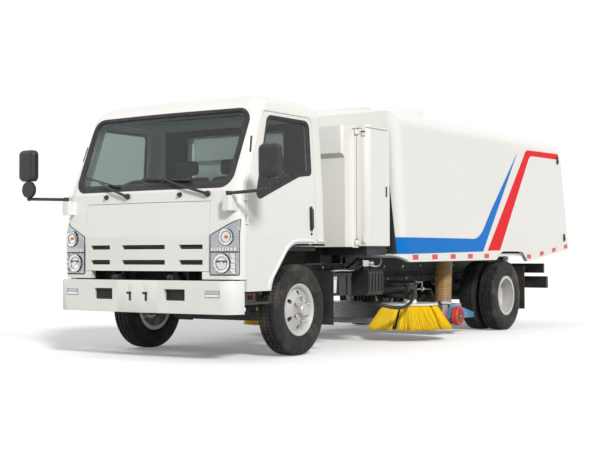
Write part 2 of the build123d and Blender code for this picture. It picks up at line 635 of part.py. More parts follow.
def pod_parts():
    wall = POD_WALL
    roof = upward([(POD_HALF, POD_REAR), (POD_HALF, POD_FRONT), (-POD_HALF, POD_FRONT),
                   (-POD_HALF, POD_REAR)], (POD_TOP - wall, POD_TOP), [0, POD_R, POD_R, 0])
    high = (POD_BOTTOM, POD_TOP - 5)
    pod = roof + block((-POD_HALF + 28, POD_HALF - 28), (POD_REAR - wall, POD_REAR), high)
    step, rear = NOSE_FRONT + NOSE_STEP, POD_FRONT + wall
    nose = across([(NOSE_FRONT, NOSE_STEP_Z + 45), (NOSE_FRONT, POD_TOP - 15), (rear, POD_TOP - 15),
                   (rear, POD_BOTTOM - 5), (step, POD_BOTTOM - 5), (step, NOSE_STEP_Z)],
                  (-NOSE_HALF, NOSE_HALF))
    nose = fillet(nose.edges().filter_by(Axis.Z).group_by(Axis.Y)[0], 30)
    pod += nose - block((-NOSE_HALF + 25, NOSE_HALF - 25), (step + 25, rear + 20),
                        (POD_BOTTOM + 20, POD_TOP - 40))
    pod += both(block((NOSE_HALF - 30, POD_HINGE_X - 3), (POD_FRONT, rear), high))
    floor = block((440, POD_HALF - 48), (POD_FRONT + 48, POD_REAR), (POD_BOTTOM, POD_BOTTOM + wall))
    floor += block((RAIL_IN, 520), (POD_FRONT, POD_FRONT + 50), (RAIL_TOP, POD_BOTTOM + wall))
    floor += block((RAIL_IN, 520), (POD_REAR - 36, POD_REAR), (RAIL_TOP, POD_BOTTOM + wall))
    pod += both(floor)
    inner = POD_HALF - 25
    x0 = POD_HINGE_X + GAP
    door = upward([(x0, POD_FRONT), (POD_HALF, POD_FRONT), (POD_HALF, POD_REAR - 4), (inner, POD_REAR - 4),
                   (inner, POD_FRONT + 25), (x0, POD_FRONT + 25)],
                  (POD_BOTTOM + 4, POD_TOP - wall - 6), [0, POD_R, 0, 0, POD_R - 25, 0])
    # Door pins at the top and bottom of the front seam: knuckle's ends, bottom of the ear
    pin = POD_PIN_R
    top = POD_TOP - wall
    for low, high, ear in [(top - 60, top - 15, top), (POD_BOTTOM + 15, POD_BOTTOM + 60, POD_BOTTOM - 12)]:
        room = rod_z(POD_HINGE_X, POD_FRONT, (low - 12, high + 14), pin + 14)
        pod -= both(room)
        door -= room
        knuckle = rod_z(POD_HINGE_X, POD_FRONT, (low, high), pin + 7)
        knuckle += block((POD_HINGE_X, POD_HINGE_X + 40), (POD_FRONT, POD_FRONT + 12), (low, high))
        door += knuckle - rod_z(POD_HINGE_X, POD_FRONT, (low - 5, high + 5), pin + FIT)
        fixed = rod_z(POD_HINGE_X, POD_FRONT, (min(low, ear), max(high, ear + 10)), pin)
        fixed += block((POD_HINGE_X - 36, POD_HINGE_X + 12), (POD_FRONT - 12, POD_FRONT + 30),
                       (ear, ear + 12))
        pod += both(fixed)
    return {"power_pod": pod, "pod_door_left": door, "pod_door_right": flip(door)}


def hopper_solid(inset):
    # A plan outline pushed up along the front's lean, trimmed by the crowned roof
    w = HOPPER_HALF - inset
    lean = Vector(0, HOPPER_FRONT_HIGH - HOPPER_FRONT_LOW, HOPPER_CROWN_Z - 880)
    rise = 2200
    far = GATE_BOTTOM_Y + 610
    front = HOPPER_FRONT_LOW + inset - lean.Y * 380 / lean.Z
    corner = HOPPER_R - inset * 0.6
    plan = face_of([(w, far), (w, front), (-w, front), (-w, far)], [0, corner, corner, 0])
    solid = extrude(Plane(origin=(0, 0, 500)) * plan, amount=rise * lean.length / lean.Z, dir=tuple(lean))
    edge = HOPPER_EDGE_Z - inset
    roof = [(w, 450), (w, edge), (0, HOPPER_CROWN_Z - inset), (-w, edge), (-w, 450)]
    corner = HOPPER_ROOF_R - inset * 0.6
    return solid & along(roof, (1000, far), [0, corner, 6000, corner, 0])


def rear_y(z, depth):
    # Rear plane: depth is the distance inside the tailgate's outer face
    return GATE_BOTTOM_Y - GATE_LEAN * (z - GATE_BOTTOM_Z) - depth


def hopper_parts():
    back = GATE_T + 6
    side = [(HOPPER_FRONT_LOW - 300, 880), (HOPPER_FRONT_LOW, 880), (1678, 816), (WHEELBASE - 460, 826),
            (WHEELBASE - 300, 922), (WHEELBASE + 290, 922), (WHEELBASE + 440, 802), (rear_y(945, back), 945),
            (rear_y(2420, back), 2420), (HOPPER_FRONT_LOW - 300, 2420)]
    trim = across(side, (-1500, 1500), [0, 0, 40, 60, 140, 140, 60, 30, 0, 0])
    # Round the front top and rear top edges in side view
    round_off = across([(1000, 500), (HOPPER_FRONT_HIGH, 500), (HOPPER_FRONT_HIGH, HOPPER_CROWN_Z),
                        (rear_y(HOPPER_CROWN_Z, back), HOPPER_CROWN_Z), (rear_y(500, back), 500)],
                       (-1500, 1500), [0, 0, 120, 120, 0])
    outer = hopper_solid(0) & trim & round_off
    shell = outer - hopper_solid(HOPPER_WALL)
    front = shell & block((-1500, 1500), (0, HOPPER_SPLIT), (0, 3000))
    skin = shell & block((-1500, 1500), (HOPPER_SPLIT, 2 * GATE_BOTTOM_Y), (0, 3000))
    w = HOPPER_HALF - HOPPER_WALL
    y0 = HOPPER_FRONT_LOW + 40
    y1 = GATE_BOTTOM_Y - 150
    floor = across([(y0, FLOOR_Z), (TIP_Y - 150, FLOOR_Z), (y1, FLOOR_Z + 82), (y1, FLOOR_Z + 82 + FLOOR_T),
                    (TIP_Y - 150, FLOOR_Z + FLOOR_T), (y0, FLOOR_Z + FLOOR_T)], (-w, w))
    lug = block((RAIL_OUT + 6, RAIL_OUT + 46), (TIP_Y - 42, TIP_Y + 42), (TIP_Z, FLOOR_Z + 30))
    lug += rod_x((RAIL_OUT + 6, RAIL_OUT + 46), TIP_Y, TIP_Z, 42)
    lug -= rod_x((RAIL_OUT, RAIL_OUT + 60), TIP_Y, TIP_Z, TIP_PIN_R + FIT)
    for x in (RAM_X - 46, RAM_X + 34):
        lug += block((x, x + 12), (RAM_EYE[0] - 40, RAM_EYE[0] + 40), (RAM_EYE[1] - 30, FLOOR_Z + 5))
    # Roof cowl, open to the rear
    top = [(COWL_FRONT, 2300), (COWL_FRONT, 2375), (COWL_REAR, COWL_TOP), (COWL_REAR, 2300)]
    cowl = across(top, (-COWL_HALF, COWL_HALF))
    brow = [edge for edge in cowl.edges() if edge.center().Z > 2400]
    cowl = fillet([edge for edge in brow if abs(edge.center().X) > COWL_HALF - 1], 60)
    void = across([(COWL_FRONT + 260, 2250), (COWL_FRONT + 260, 2375), (COWL_REAR + 50, COWL_TOP - 22),
                   (COWL_REAR + 50, 2250)], (-COWL_HALF + 25, COWL_HALF - 25))
    front += cowl & block((-1500, 1500), (0, HOPPER_SPLIT), (0, 3000)) - hopper_solid(10)
    behind = block((-1500, 1500), (HOPPER_SPLIT, 2 * GATE_BOTTOM_Y), (0, 3000))
    skin += (cowl - void - hopper_solid(10)) & behind
    tub = front + floor + both(lug)
    # Tailgate
    y_low = rear_y(GATE_BOTTOM_Z, 0)
    y_top = rear_y(GATE_TOP_Z, 0)
    gate = across([(y_low, GATE_BOTTOM_Z), (y_top, GATE_TOP_Z), (y_top - GATE_T, GATE_TOP_Z),
                   (y_low - GATE_T, GATE_BOTTOM_Z)], (-HOPPER_HALF + 4, HOPPER_HALF - 4), [20, 50, 0, 0])
    # Tailgate hinges: pins in the side walls, knuckles on the gate
    y, z, x = rear_y(GATE_TOP_Z, GATE_T) - 3, GATE_TOP_Z + 6, HOPPER_HALF - HOPPER_WALL
    skin += both(rod_x((x - 68, HOPPER_HALF - 2), y, z, GATE_PIN_R))
    gate -= both(rod_x((x - 12, HOPPER_HALF + 5), y, z, GATE_PIN_R + 6))
    gate += both(rod_x((x - 62, x - 16), y, z, GATE_PIN_R + 9))
    gate -= both(rod_x((x - 75, x - 10), y, z, GATE_PIN_R + FIT))
    return {"hopper_tub": tub, "hopper_skin": skin, "tailgate": gate}


def ram_parts():
    # Barrels and rods along the line from the base pin to the eye at rest
    start = Vector(RAM_X, *RAM_BASE)
    end = Vector(RAM_X, *RAM_EYE)
    line = (end - start).normalized()
    barrel = rod_x((RAM_X - 34, RAM_X + 34), start.Y, start.Z, 34)
    barrel += rod(tuple(start + line * 10), tuple(start + line * 80), 30)
    barrel += rod(tuple(start + line * 65), tuple(start + line * 1120), RAM_R)
    barrel -= rod(tuple(start + line * 90), tuple(start + line * 1200), ROD_R + FIT)
    barrel -= rod_x((RAM_X - 60, RAM_X + 60), start.Y, start.Z, RAM_PIN_R + FIT)
    piston = rod(tuple(start + line * 120), tuple(end - line * 20), ROD_R)
    piston += rod_x((RAM_X - 28, RAM_X + 28), end.Y, end.Z, 30)
    piston -= rod_x((RAM_X - 40, RAM_X + 40), end.Y, end.Z, RAM_PIN_R)
    return {"ram_barrels": both(barrel), "ram_rods": both(piston)}


def sweep_parts():
    shaft = BROOM_SHAFT_R
    x, y = BROOM_X, BROOM_Y
    top = BROOM_PLATE_Z + 20
    disc = rod_z(x, y, (BROOM_PLATE_Z, top), BROOM_PLATE_R)
    disc += rod_z(x, y, (BROOM_PLATE_Z - 10, top + 30), 70)
    disc -= rod_z(x, y, (0, 1000), shaft + FIT)
    ring = revolve(Plane.XZ * face_of([(205, BROOM_PLATE_Z), (285, BROOM_PLATE_Z), (BROOM_TIP_R, BROOM_TIP_Z),
                                       (BROOM_TIP_R - 130, BROOM_TIP_Z)]), Axis.Z)
    slot = block((150, BROOM_TIP_R + 20), (-TUFT_GAP / 2, TUFT_GAP / 2),
                 (BROOM_TIP_Z - 10, BROOM_PLATE_Z - TUFT_ROOT))
    ring -= [Rot(0, 0, n * 360 / TUFTS) * slot for n in range(TUFTS)]
    bristles = Pos(x, y, 0) * ring
    arm = rod_z(ARM_X, ARM_Y, (470, 630), 42) + rod_z(x, y, (top + 40, 575), 75)
    arm += rod((ARM_X, ARM_Y, 535), (x, y, 535), 32)
    arm += rod_z(x, y, (BROOM_PLATE_Z - 5, top + 60), shaft)
    arm -= rod_z(ARM_X, ARM_Y, (400, 700), shaft + FIT)
    feed_path = hose_line([Vector(x + dx, y + dy, z) for dx, dy, z in FEED_HOSE])
    feed = sweep(Plane(origin=feed_path @ 0, z_dir=feed_path % 0) * Circle(FEED_R), path=feed_path)
    # Ports that the feed hose runs between: on the motor and on the arm's boss
    for end, way in [(feed_path @ 0, feed_path % 0), (feed_path @ 1, (feed_path % 1) * -1)]:
        arm += rod(tuple(end - way * FEED_PORT), tuple(end), FEED_R + 6)
    # Suction nozzle hung from the rails, with caster axles and hose stubs
    nozzle = across([(NOZZLE_FRONT, NOZZLE_BOTTOM + 60), (NOZZLE_FRONT + 90, NOZZLE_TOP),
                     (NOZZLE_REAR - 60, NOZZLE_TOP), (NOZZLE_REAR, NOZZLE_BOTTOM),
                     (NOZZLE_FRONT, NOZZLE_BOTTOM)], (-NOZZLE_HALF, NOZZLE_HALF))
    nozzle -= across([(NOZZLE_FRONT + 40, NOZZLE_BOTTOM - 50), (NOZZLE_FRONT + 40, NOZZLE_BOTTOM + 60),
                      (NOZZLE_FRONT + 110, NOZZLE_TOP - 24), (NOZZLE_REAR - 80, NOZZLE_TOP - 24),
                      (NOZZLE_REAR - 30, NOZZLE_BOTTOM - 50)], (-NOZZLE_HALF + 20, NOZZLE_HALF - 20))
    hang = block((RAIL_IN + 5, RAIL_OUT - 5), (NOZZLE_FRONT + 120, NOZZLE_FRONT + 200),
                 (NOZZLE_TOP - 5, RAIL_BOTTOM))
    hang += rod_x((NOZZLE_HALF - 15, CASTER_X + CASTER_W / 2 + 8), CASTER_Y, 205, CASTER_AXLE_R)
    hx, hy = HOSE_LOW[:2]
    hang += block((hx - 100, NOZZLE_HALF), (hy - 80, hy + 160), (NOZZLE_TOP - 20, NOZZLE_TOP))
    nozzle += both(hang)
    # Corrugated hose: ribs along the line from the nozzle to the hopper
    line = Vector(*HOSE_HIGH) - Vector(*HOSE_LOW)
    pitch = line.length / HOSE_RIBS
    wave = []
    for n in range(-1, HOSE_RIBS + 1):
        for share, depth in [(0, HOSE_RIB), (0.25, 0), (0.65, 0), (0.9, HOSE_RIB)]:
            wave.append((HOSE_R - depth, (n + share) * pitch))
    bore = HOSE_R - HOSE_WALL
    wave += [(bore, wave[-1][1]), (bore, wave[0][1])]
    hose = Plane(origin=HOSE_LOW, z_dir=line) * revolve(Plane.XZ * face_of(wave), Axis.Z)
    hose = hose & block((0, 1500), (0, GATE_BOTTOM_Y), (NOZZLE_TOP, HOSE_HIGH[2] - 2))
    wide = CASTER_W / 2
    caster = lathe_x([(-wide, CASTER_AXLE_R + FIT), (-wide, CASTER_R - 8), (-wide + 8, CASTER_R),
                      (wide - 8, CASTER_R), (wide, CASTER_R - 8), (wide, CASTER_AXLE_R + FIT)],
                     (CASTER_X, CASTER_Y, 205))
    plate = across([(CASTER_Y - 115, 180), (CASTER_Y - 115, 330), (CASTER_Y + 55, 330), (CASTER_Y + 505, 230),
                    (CASTER_Y + 505, 170)], (NOZZLE_HALF, NOZZLE_HALF + 14))
    plate -= rod_x((NOZZLE_HALF - 5, NOZZLE_HALF + 30), CASTER_Y, 205, CASTER_AXLE_R + 1)
    return {"broom_disc_left": disc, "broom_disc_right": flip(disc),
            "bristles_left": bristles, "bristles_right": flip(bristles),
            "broom_arm_left": arm, "broom_arm_right": flip(arm),
            "feed_hose_left": feed, "feed_hose_right": flip(feed),
            "suction_nozzle": nozzle, "suction_hoses": both(hose),
            "caster_left": caster, "caster_right": flip(caster), "nozzle_brackets": both(plate)}


BUILDERS = [frame_parts, axle_parts, wheel_parts, engine_parts, cab_parts, interior_parts, mirror_parts,
            bumper_parts, side_parts, pod_parts, hopper_parts, ram_parts, sweep_parts]

os.makedirs("parts", exist_ok=True)
for build in BUILDERS:
    for name, shape in build().items():
        export_step(Pos(0, -MID_Y, 0) * shape, "parts/" + name + ".step")
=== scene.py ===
import math
import random

import bmesh
import bpy
from mathutils import Matrix, Vector


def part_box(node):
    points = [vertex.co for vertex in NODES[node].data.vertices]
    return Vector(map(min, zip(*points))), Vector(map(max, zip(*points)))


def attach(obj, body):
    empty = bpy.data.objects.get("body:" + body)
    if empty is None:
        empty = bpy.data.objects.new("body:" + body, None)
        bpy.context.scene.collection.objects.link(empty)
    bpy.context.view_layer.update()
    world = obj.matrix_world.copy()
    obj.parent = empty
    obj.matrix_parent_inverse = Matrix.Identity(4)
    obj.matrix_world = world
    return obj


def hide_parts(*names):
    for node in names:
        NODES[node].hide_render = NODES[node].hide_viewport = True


# Looks of a street sweeper truck: cab-over chassis with a suction sweeper body.
# Lengths are metres. at() takes places from the front axle's line, with +Y to the rear.
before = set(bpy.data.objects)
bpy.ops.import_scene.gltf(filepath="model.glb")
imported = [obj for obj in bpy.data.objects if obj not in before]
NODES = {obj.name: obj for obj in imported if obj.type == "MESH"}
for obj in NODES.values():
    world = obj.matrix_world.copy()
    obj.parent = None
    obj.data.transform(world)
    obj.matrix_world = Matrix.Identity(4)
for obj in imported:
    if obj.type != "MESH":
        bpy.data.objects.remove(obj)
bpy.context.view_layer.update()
rng = random.Random(11)
SIDES = [("left", 1), ("right", -1)]
BOTH = (1, -1)
UP = Vector((0, 0, 1))
BACK = Vector((0, 1, 0))

# Places read from the frame
tyre_low, tyre_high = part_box("front_tyre_left")
AXLE_Y = (tyre_low.y + tyre_high.y) / 2
TYRE_R = (tyre_high.z - tyre_low.z) / 2
TYRE_HALF = (tyre_high.x - tyre_low.x) / 2
HOPPER_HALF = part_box("hopper_skin")[1].x


def at(x, y, z):
    return Vector((x, AXLE_Y + y, z))


def centre_of(node):
    low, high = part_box(node)
    return (low + high) / 2


# Outlines

CORNER_SHARE = 0.49


def spaced(start, end, count):
    """Evenly spaced values or points, both ends among them."""
    return [start + (end - start) * k / count for k in range(count + 1)]


def full_turn(count, shift=0.0):
    """Angles spaced evenly round a circle."""
    return [2 * math.pi * (k + shift) / count for k in range(count)]


def rect(x0, x1, y0, y1):
    return [(x0, y0), (x1, y0), (x1, y1), (x0, y1)]


def rounded(points, radius, parts=6):
    """A closed 2-D outline whose corners are arcs; radius is one value or one per corner."""
    count = len(points)
    radii = radius if isinstance(radius, list) else [radius] * count
    outline = []
    for i in range(count):
        corner = Vector(points[i])
        back = Vector(points[i - 1]) - corner
        ahead = Vector(points[(i + 1) % count]) - corner
        if radii[i] <= 0:
            outline.append(corner)
            continue
        half = back.angle(ahead) / 2
        reach = min(radii[i] / math.tan(half), CORNER_SHARE * back.length, CORNER_SHARE * ahead.length)
        size = reach * math.tan(half)
        back.normalize()
        ahead.normalize()
        centre = corner + (back + ahead).normalized() * (size / math.sin(half))
        start = corner + back * reach - centre
        end = corner + ahead * reach - centre
        turn = start.angle(end)
        for t in spaced(0, 1, parts):
            arm = start * math.sin((1 - t) * turn) + end * math.sin(t * turn)
            outline.append(centre + arm / math.sin(turn))
    return outline


def grown(outline, by):
    """The same closed outline moved outward by a distance."""
    count = len(outline)
    area = sum(outline[i - 1].x * outline[i].y - outline[i].x * outline[i - 1].y for i in range(count))
    sign = 1 if area > 0 else -1
    moved = []
    for i in range(count):
        step = outline[(i + 1) % count] - outline[i - 1]
        normal = Vector((step.y, -step.x)).normalized() * sign
        moved.append(outline[i] + normal * by)
    return moved


def normals(line):
    """Each point of an open line with the unit vector to its right."""
    found = []
    for i, p in enumerate(line):
        step = line[min(i + 1, len(line) - 1)] - line[max(i - 1, 0)]
        found.append((p, Vector((step.y, -step.x)).normalized()))
    return found


def refined(line, step, closed=False):
    """The same line with more points, about a step apart."""
    ends = line[1:] + line[:1] if closed else line[1:]
    fine = []
    for a, b in zip(line, ends):
        parts = max(1, round((b - a).length / step))
        fine += spaced(a, b, parts)[:-1]
    return fine if closed else fine + [line[-1]]


def smooth_path(points, parts=8):
    """Points along a curve that runs through the given ones."""
    points = [Vector(p) for p in points]
    ends = [points[0] * 2 - points[1]] + points + [points[-1] * 2 - points[-2]]
    path = []
    for i in range(1, len(ends) - 2):
        a, b, c, d = ends[i - 1:i + 3]
        for k in range(parts):
            t = k / parts
            path.append(0.5 * (2 * b + (c - a) * t + (2 * a - 5 * b + 4 * c - d) * t ** 2
                               + (3 * b - a - 3 * c + d) * t ** 3))
    return path + [points[-1]]


# Shapes

LEAST_R = 0.0005


def add_box(bm, low, high):
    size = high - low
    for v in bmesh.ops.create_cube(bm, size=1)["verts"]:
        v.co = low + Vector([(c + 0.5) * s for c, s in zip(v.co, size)])


def add_blocks(bm, rows, origin=at(0, 0, 0), sides=(1,)):
    """Boxes from rows of low x, high x, low y, high y, low z, high z; side -1 mirrors x."""
    for x0, x1, y0, y1, z0, z1 in rows:
        for side in sides:
            low, high = sorted((side * x0, side * x1))
            add_box(bm, origin + Vector((low, y0, z0)), origin + Vector((high, y1, z1)))


def add_rings(bm, rings, closed=True, caps=True, loop=False):
    """Skins a list of point rings of equal length."""
    rows = [[bm.verts.new(p) for p in ring] for ring in rings]
    count = len(rows[0])
    spans = count if closed else count - 1
    for j in range(len(rows) if loop else len(rows) - 1):
        a, b = rows[j], rows[(j + 1) % len(rows)]
        for i in range(spans):
            k = (i + 1) % count
            bm.faces.new((a[i], a[k], b[k], b[i]))
    if caps and closed and not loop:
        bm.faces.new(rows[0])
        bm.faces.new(rows[-1])


def circle(middle, u, v, radius, sides):
    return [middle + (u * math.cos(a) + v * math.sin(a)) * radius for a in full_turn(sides)]


def add_tube(bm, path, radius, sides=12, loop=False):
    """A round tube along points; radius is one value or one per point."""
    path = [Vector(p) for p in path]
    count = len(path)
    radii = radius if isinstance(radius, list) else [radius] * count
    normal = None
    rings = []
    for i in range(count):
        ahead = path[(i + 1) % count] if loop or i < count - 1 else path[i]
        behind = path[i - 1] if loop or i > 0 else path[i]
        tangent = (ahead - behind).normalized()
        if normal is None:
            normal = tangent.orthogonal().normalized()
        normal = (normal - tangent * normal.dot(tangent)).normalized()
        rings.append(circle(path[i], normal, tangent.cross(normal), radii[i], sides))
    add_rings(bm, rings, loop=loop)


def add_pipe(bm, points, radius, sides=10, parts=1):
    """A tube through places from the front axle, curved where parts is over 1."""
    add_tube(bm, smooth_path([at(*p) for p in points], parts), radius, sides)


def add_lathe(bm, profile, origin, axis, sides=32, loop=False):
    """Turns (distance along the axis, radius) points about an axis."""
    axis = Vector(axis).normalized()
    u = axis.orthogonal().normalized()
    v = axis.cross(u)
    rings = [circle(Vector(origin) + axis * along, u, v, max(radius, LEAST_R), sides)
             for along, radius in profile]
    add_rings(bm, rings, loop=loop)


def add_layers(bm, outline, place, layers):
    """A raised outline: each layer is (growth, height), and place(u, v, height) gives the point."""
    add_rings(bm, [[place(p.x, p.y, out) for p in grown(outline, by)] for by, out in layers])


def add_seal(bm, outline, place, layers):
    """A strip round an outline: each layer is (nodes it lies on, growth, height)."""
    rings = [[place(p.x, p.y, out, nodes) for p in grown(outline, by)] for nodes, by, out in layers]
    add_rings(bm, rings, caps=False)


def add_raised(bm, corners, lifts):
    """A block whose corners stand forward of a face."""
    add_rings(bm, [corners, [p - BACK * lift for p, lift in zip(corners, lifts)]])


def mirror_x(bm):
    """Adds the same shapes on the other side of the truck."""
    made = bmesh.ops.duplicate(bm, geom=bm.verts[:] + bm.edges[:] + bm.faces[:])["geom"]
    for v in made:
        if isinstance(v, bmesh.types.BMVert):
            v.co.x = -v.co.x
    bmesh.ops.reverse_faces(bm, faces=[f for f in made if isinstance(f, bmesh.types.BMFace)])


def round_edges(obj, width, angle):
    edge = obj.modifiers.new("edge", "BEVEL")
    edge.width = width
    edge.segments = 2
    edge.limit_method = "ANGLE"
    edge.angle_limit = math.radians(angle)


def new_object(name, data):
    obj = bpy.data.objects.new(name, data)
    bpy.context.scene.collection.objects.link(obj)
    return obj


SHARP = 38


def piece(name, bm, material, body, sharp=SHARP, bevel=0.0, stands_for=None):
    """Turns a bmesh into a smooth-shaded piece that rides on a body."""
    bmesh.ops.recalc_face_normals(bm, faces=bm.faces)
    mesh = bpy.data.meshes.new(name)
    bm.to_mesh(mesh)
    bm.free()
    mesh.polygons.foreach_set("use_smooth", [True] * len(mesh.polygons))
    mesh.set_sharp_from_angle(angle=math.radians(sharp))
    mesh.materials.append(material)
    obj = new_object(name, mesh)
    if bevel:
        round_edges(obj, bevel, 40)
    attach(obj, body)
    if stands_for:
        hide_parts(stands_for)
    return obj


# Places on the CAD nodes

CAB_FACE = ["cab_front", "cab_roof", "front_lid", "headlamps"]
PANE = ["cab_glass"]
FAR = 3


def cast(origin, direction, nodes, out=0.0):
    """The first place where a line meets the named nodes, moved back towards its start by out."""
    direction = Vector(direction)
    best = None
    for name in nodes:
        hit, place, _, _ = NODES[name].ray_cast(origin, direction)
        if hit and (best is None or (place - origin).length < (best - origin).length):
            best = place
    if best is None:
        raise ValueError("nothing behind " + str(tuple(origin)))
    return best - direction * out


def on_front(x, z, out=0.0, nodes=CAB_FACE):
    return cast(at(x, -FAR, z), (0, 1, 0), nodes, out)


def side_face(side, node=None):
    """A function that gives places on one side of the truck."""
    def on_side(y, z, out=0.0, nodes=(node,)):
        return cast(at(side * FAR, y, z), (-side, 0, 0), nodes, out)
    return on_side


# Materials

DUST = (0.33, 0.29, 0.23)


def add_node(tree, kind, **inputs):
    """A shader node with its sockets set to values or linked to other sockets."""
    made = tree.nodes.new(kind)
    for name, value in inputs.items():
        socket = made.inputs[name.replace("_", " ")]
        if isinstance(value, bpy.types.NodeSocket):
            tree.links.new(value, socket)
        else:
            socket.default_value = value
    return made


def calculate(tree, operation, *values):
    made = tree.nodes.new("ShaderNodeMath")
    made.operation = operation
    for value, socket in zip(values, made.inputs):
        tree.links.new(value, socket)
    return made.outputs[0]


def shaded(colour, by, plus=0.0):
    return tuple(c * by + plus for c in colour)


class Look:
    """A Principled material with a few ways to vary it over the surface."""

    def __init__(self, name, colour, **sockets):
        self.material = bpy.data.materials.new(name)
        self.material.use_nodes = True
        self.tree = self.material.node_tree
        self.shader = self.tree.nodes["Principled BSDF"]
        self.shader.inputs["Base Color"].default_value = (*colour, 1)
        for socket, value in sockets.items():
            self.shader.inputs[socket.replace("_", " ")].default_value = value
        self.coords = self.node("ShaderNodeTexCoord").outputs["Object"]
        self.colour = None

    def node(self, kind, **inputs):
        return add_node(self.tree, kind, **inputs)

    def noise(self, scale, detail=4.0, stretch=None):
        place = self.coords
        if stretch:
            place = self.node("ShaderNodeMapping", Vector=place, Scale=stretch).outputs["Vector"]
        return self.node("ShaderNodeTexNoise", Vector=place, Scale=scale, Detail=detail).outputs["Fac"]

    def spread(self, value, low, high, to_low=0.0, to_high=1.0):
        made = self.node("ShaderNodeMapRange", Value=value, From_Min=low, From_Max=high, To_Min=to_low,
                         To_Max=to_high)
        return made.outputs["Result"]

    def times(self, a, b):
        return calculate(self.tree, "MULTIPLY", a, b)

    def part_of(self, axis):
        return self.node("ShaderNodeSeparateXYZ", Vector=self.coords).outputs[axis]

    def tint(self, factor, colour):
        """Mixes another colour in where the factor is high."""
        mix = self.tree.nodes.new("ShaderNodeMix")
        mix.data_type = "RGBA"
        a, b = mix.inputs[6], mix.inputs[7]
        if self.colour is None:
            a.default_value = self.shader.inputs["Base Color"].default_value
        else:
            self.tree.links.new(self.colour, a)
        b.default_value = (*colour, 1)
        self.tree.links.new(factor, mix.inputs[0])
        self.colour = mix.outputs[2]
        self.tree.links.new(self.colour, self.shader.inputs["Base Color"])
        return self

    def mottle(self, colour, scale, detail, low, high, most=1.0):
        """Patches of another colour."""
        return self.tint(self.spread(self.noise(scale, detail), low, high, 0.0, most), colour)

    def rough(self, value, low, high, start=0.3, end=0.7):
        self.tree.links.new(self.spread(value, start, end, low, high), self.shader.inputs["Roughness"])
        return self

    def bump(self, height, strength, distance=0.002):
        made = self.node("ShaderNodeBump", Height=height, Strength=strength, Distance=distance)
        self.tree.links.new(made.outputs["Normal"], self.shader.inputs["Normal"])
        return self

    def dust(self, low, high, amount):
        """Road dust that thins out from one height to another."""
        fade = self.spread(self.part_of("Z"), low, high, amount, 0.0)
        patchy = self.spread(self.noise(6.0, 6.0), 0.35, 0.7)
        return self.tint(self.times(fade, patchy), DUST)


def paint(name, colour, dirt=0.25, rough=(0.3, 0.34), coat=0.25, **sockets):
    look = Look(name, colour, Coat_Weight=coat, Coat_Roughness=0.05, **sockets)
    look.mottle(shaded(colour, 0.97), 0.9, 3.0, 0.35, 0.75)
    look.dust(0.4, 1.0, dirt)
    look.rough(look.noise(5.0), *rough)
    return look.bump(look.noise(30.0, 2.0), 0.02, 0.0003).material


def dull(name, colour, rough=(0.5, 0.7), grain=380.0, grain_depth=0.12, dirt=0.35, top=1.0, **sockets):
    """Moulded plastic, rubber or chassis paint with grain and road dust."""
    look = Look(name, colour, **sockets)
    look.mottle(shaded(colour, 1.5, 0.004), 14.0, 4.0, 0.4, 0.8)
    look.dust(0.1, top, dirt)
    look.rough(look.noise(22.0), *rough)
    return look.bump(look.noise(grain, 2.0), grain_depth, 0.001).material


def metal(name, colour, rough=(0.2, 0.35), brushed=None):
    look = Look(name, colour, Metallic=1.0)
    streak = look.noise(60.0, 4.0, brushed)
    look.tint(look.spread(streak, 0.35, 0.75), shaded(colour, 0.8))
    look.rough(streak, *rough)
    return look.bump(streak, 0.05, 0.0005).material


def galvanised_metal():
    look = Look("galvanised_zinc", (0.52, 0.54, 0.55), Metallic=0.85)
    cells = look.node("ShaderNodeTexVoronoi", Vector=look.coords, Scale=55.0).outputs["Color"]
    spangle = look.node("ShaderNodeSeparateColor", Color=cells).outputs["Red"]
    look.tint(look.spread(spangle, 0.2, 0.9), (0.38, 0.4, 0.42))
    look.dust(0.1, 0.6, 0.5)
    look.rough(spangle, 0.3, 0.5)
    return look.bump(look.noise(90.0), 0.08).material


def glass(name, tint, shade_band=None):
    """Window glass; shade_band is its low edge, high edge and colour."""
    look = Look(name, tint, Roughness=0.015, Transmission_Weight=1.0, IOR=1.3)
    if shade_band:
        low, high, colour = shade_band
        look.tint(look.spread(look.part_of("Z"), low, high), colour)
    return look.rough(look.noise(3.0, 5.0), 0.0, 0.05, 0.4, 0.8).material


def lens(name, colour):
    """Clear or coloured lamp plastic with uneven gloss."""
    look = Look(name, colour, IOR=1.12, Transmission_Weight=1.0)
    look.mottle(shaded(colour, 0.97), 30.0, 4.0, 0.4, 0.8)
    return look.rough(look.noise(12.0), 0.0, 0.03).material


def woven(name, colour, other):
    look = Look(name, colour, Roughness=0.9, Sheen_Weight=0.3)
    turned = look.node("ShaderNodeMapping", Vector=look.coords, Rotation=(0, 0, math.pi / 2))
    warp, weft = [look.node("ShaderNodeTexWave", Vector=place, Scale=150.0).outputs["Fac"]
                  for place in (look.coords, turned.outputs["Vector"])]
    weave = look.times(warp, weft)
    look.tint(look.spread(weave, 0.1, 0.8), other)
    look.mottle(shaded(colour, 0.6), 5.0, 4.0, 0.5, 0.9, 0.5)
    return look.bump(weave, 0.5, 0.001).material


def tail_lens():
    """Clear at the front of the truck; red with an amber outer and a clear inner end at the rear."""
    look = Look("fog_and_tail_lens", (0.85, 0.87, 0.88), Roughness=0.08, IOR=1.3, Transmission_Weight=0.6)
    rear = look.spread(look.part_of("Y"), 0.0, 0.01)
    look.tint(rear, (0.55, 0.012, 0.01))
    across = calculate(look.tree, "ABSOLUTE", look.part_of("X"))
    for start, end, colour in [(0.828, 0.832, (0.75, 0.2, 0.01)), (0.722, 0.718, (0.8, 0.8, 0.78))]:
        look.tint(look.times(rear, look.spread(across, start, end)), colour)
    ribs = look.node("ShaderNodeTexWave", Vector=look.coords, Scale=30.0).outputs["Fac"]
    return look.bump(ribs, 0.2, 0.001).material


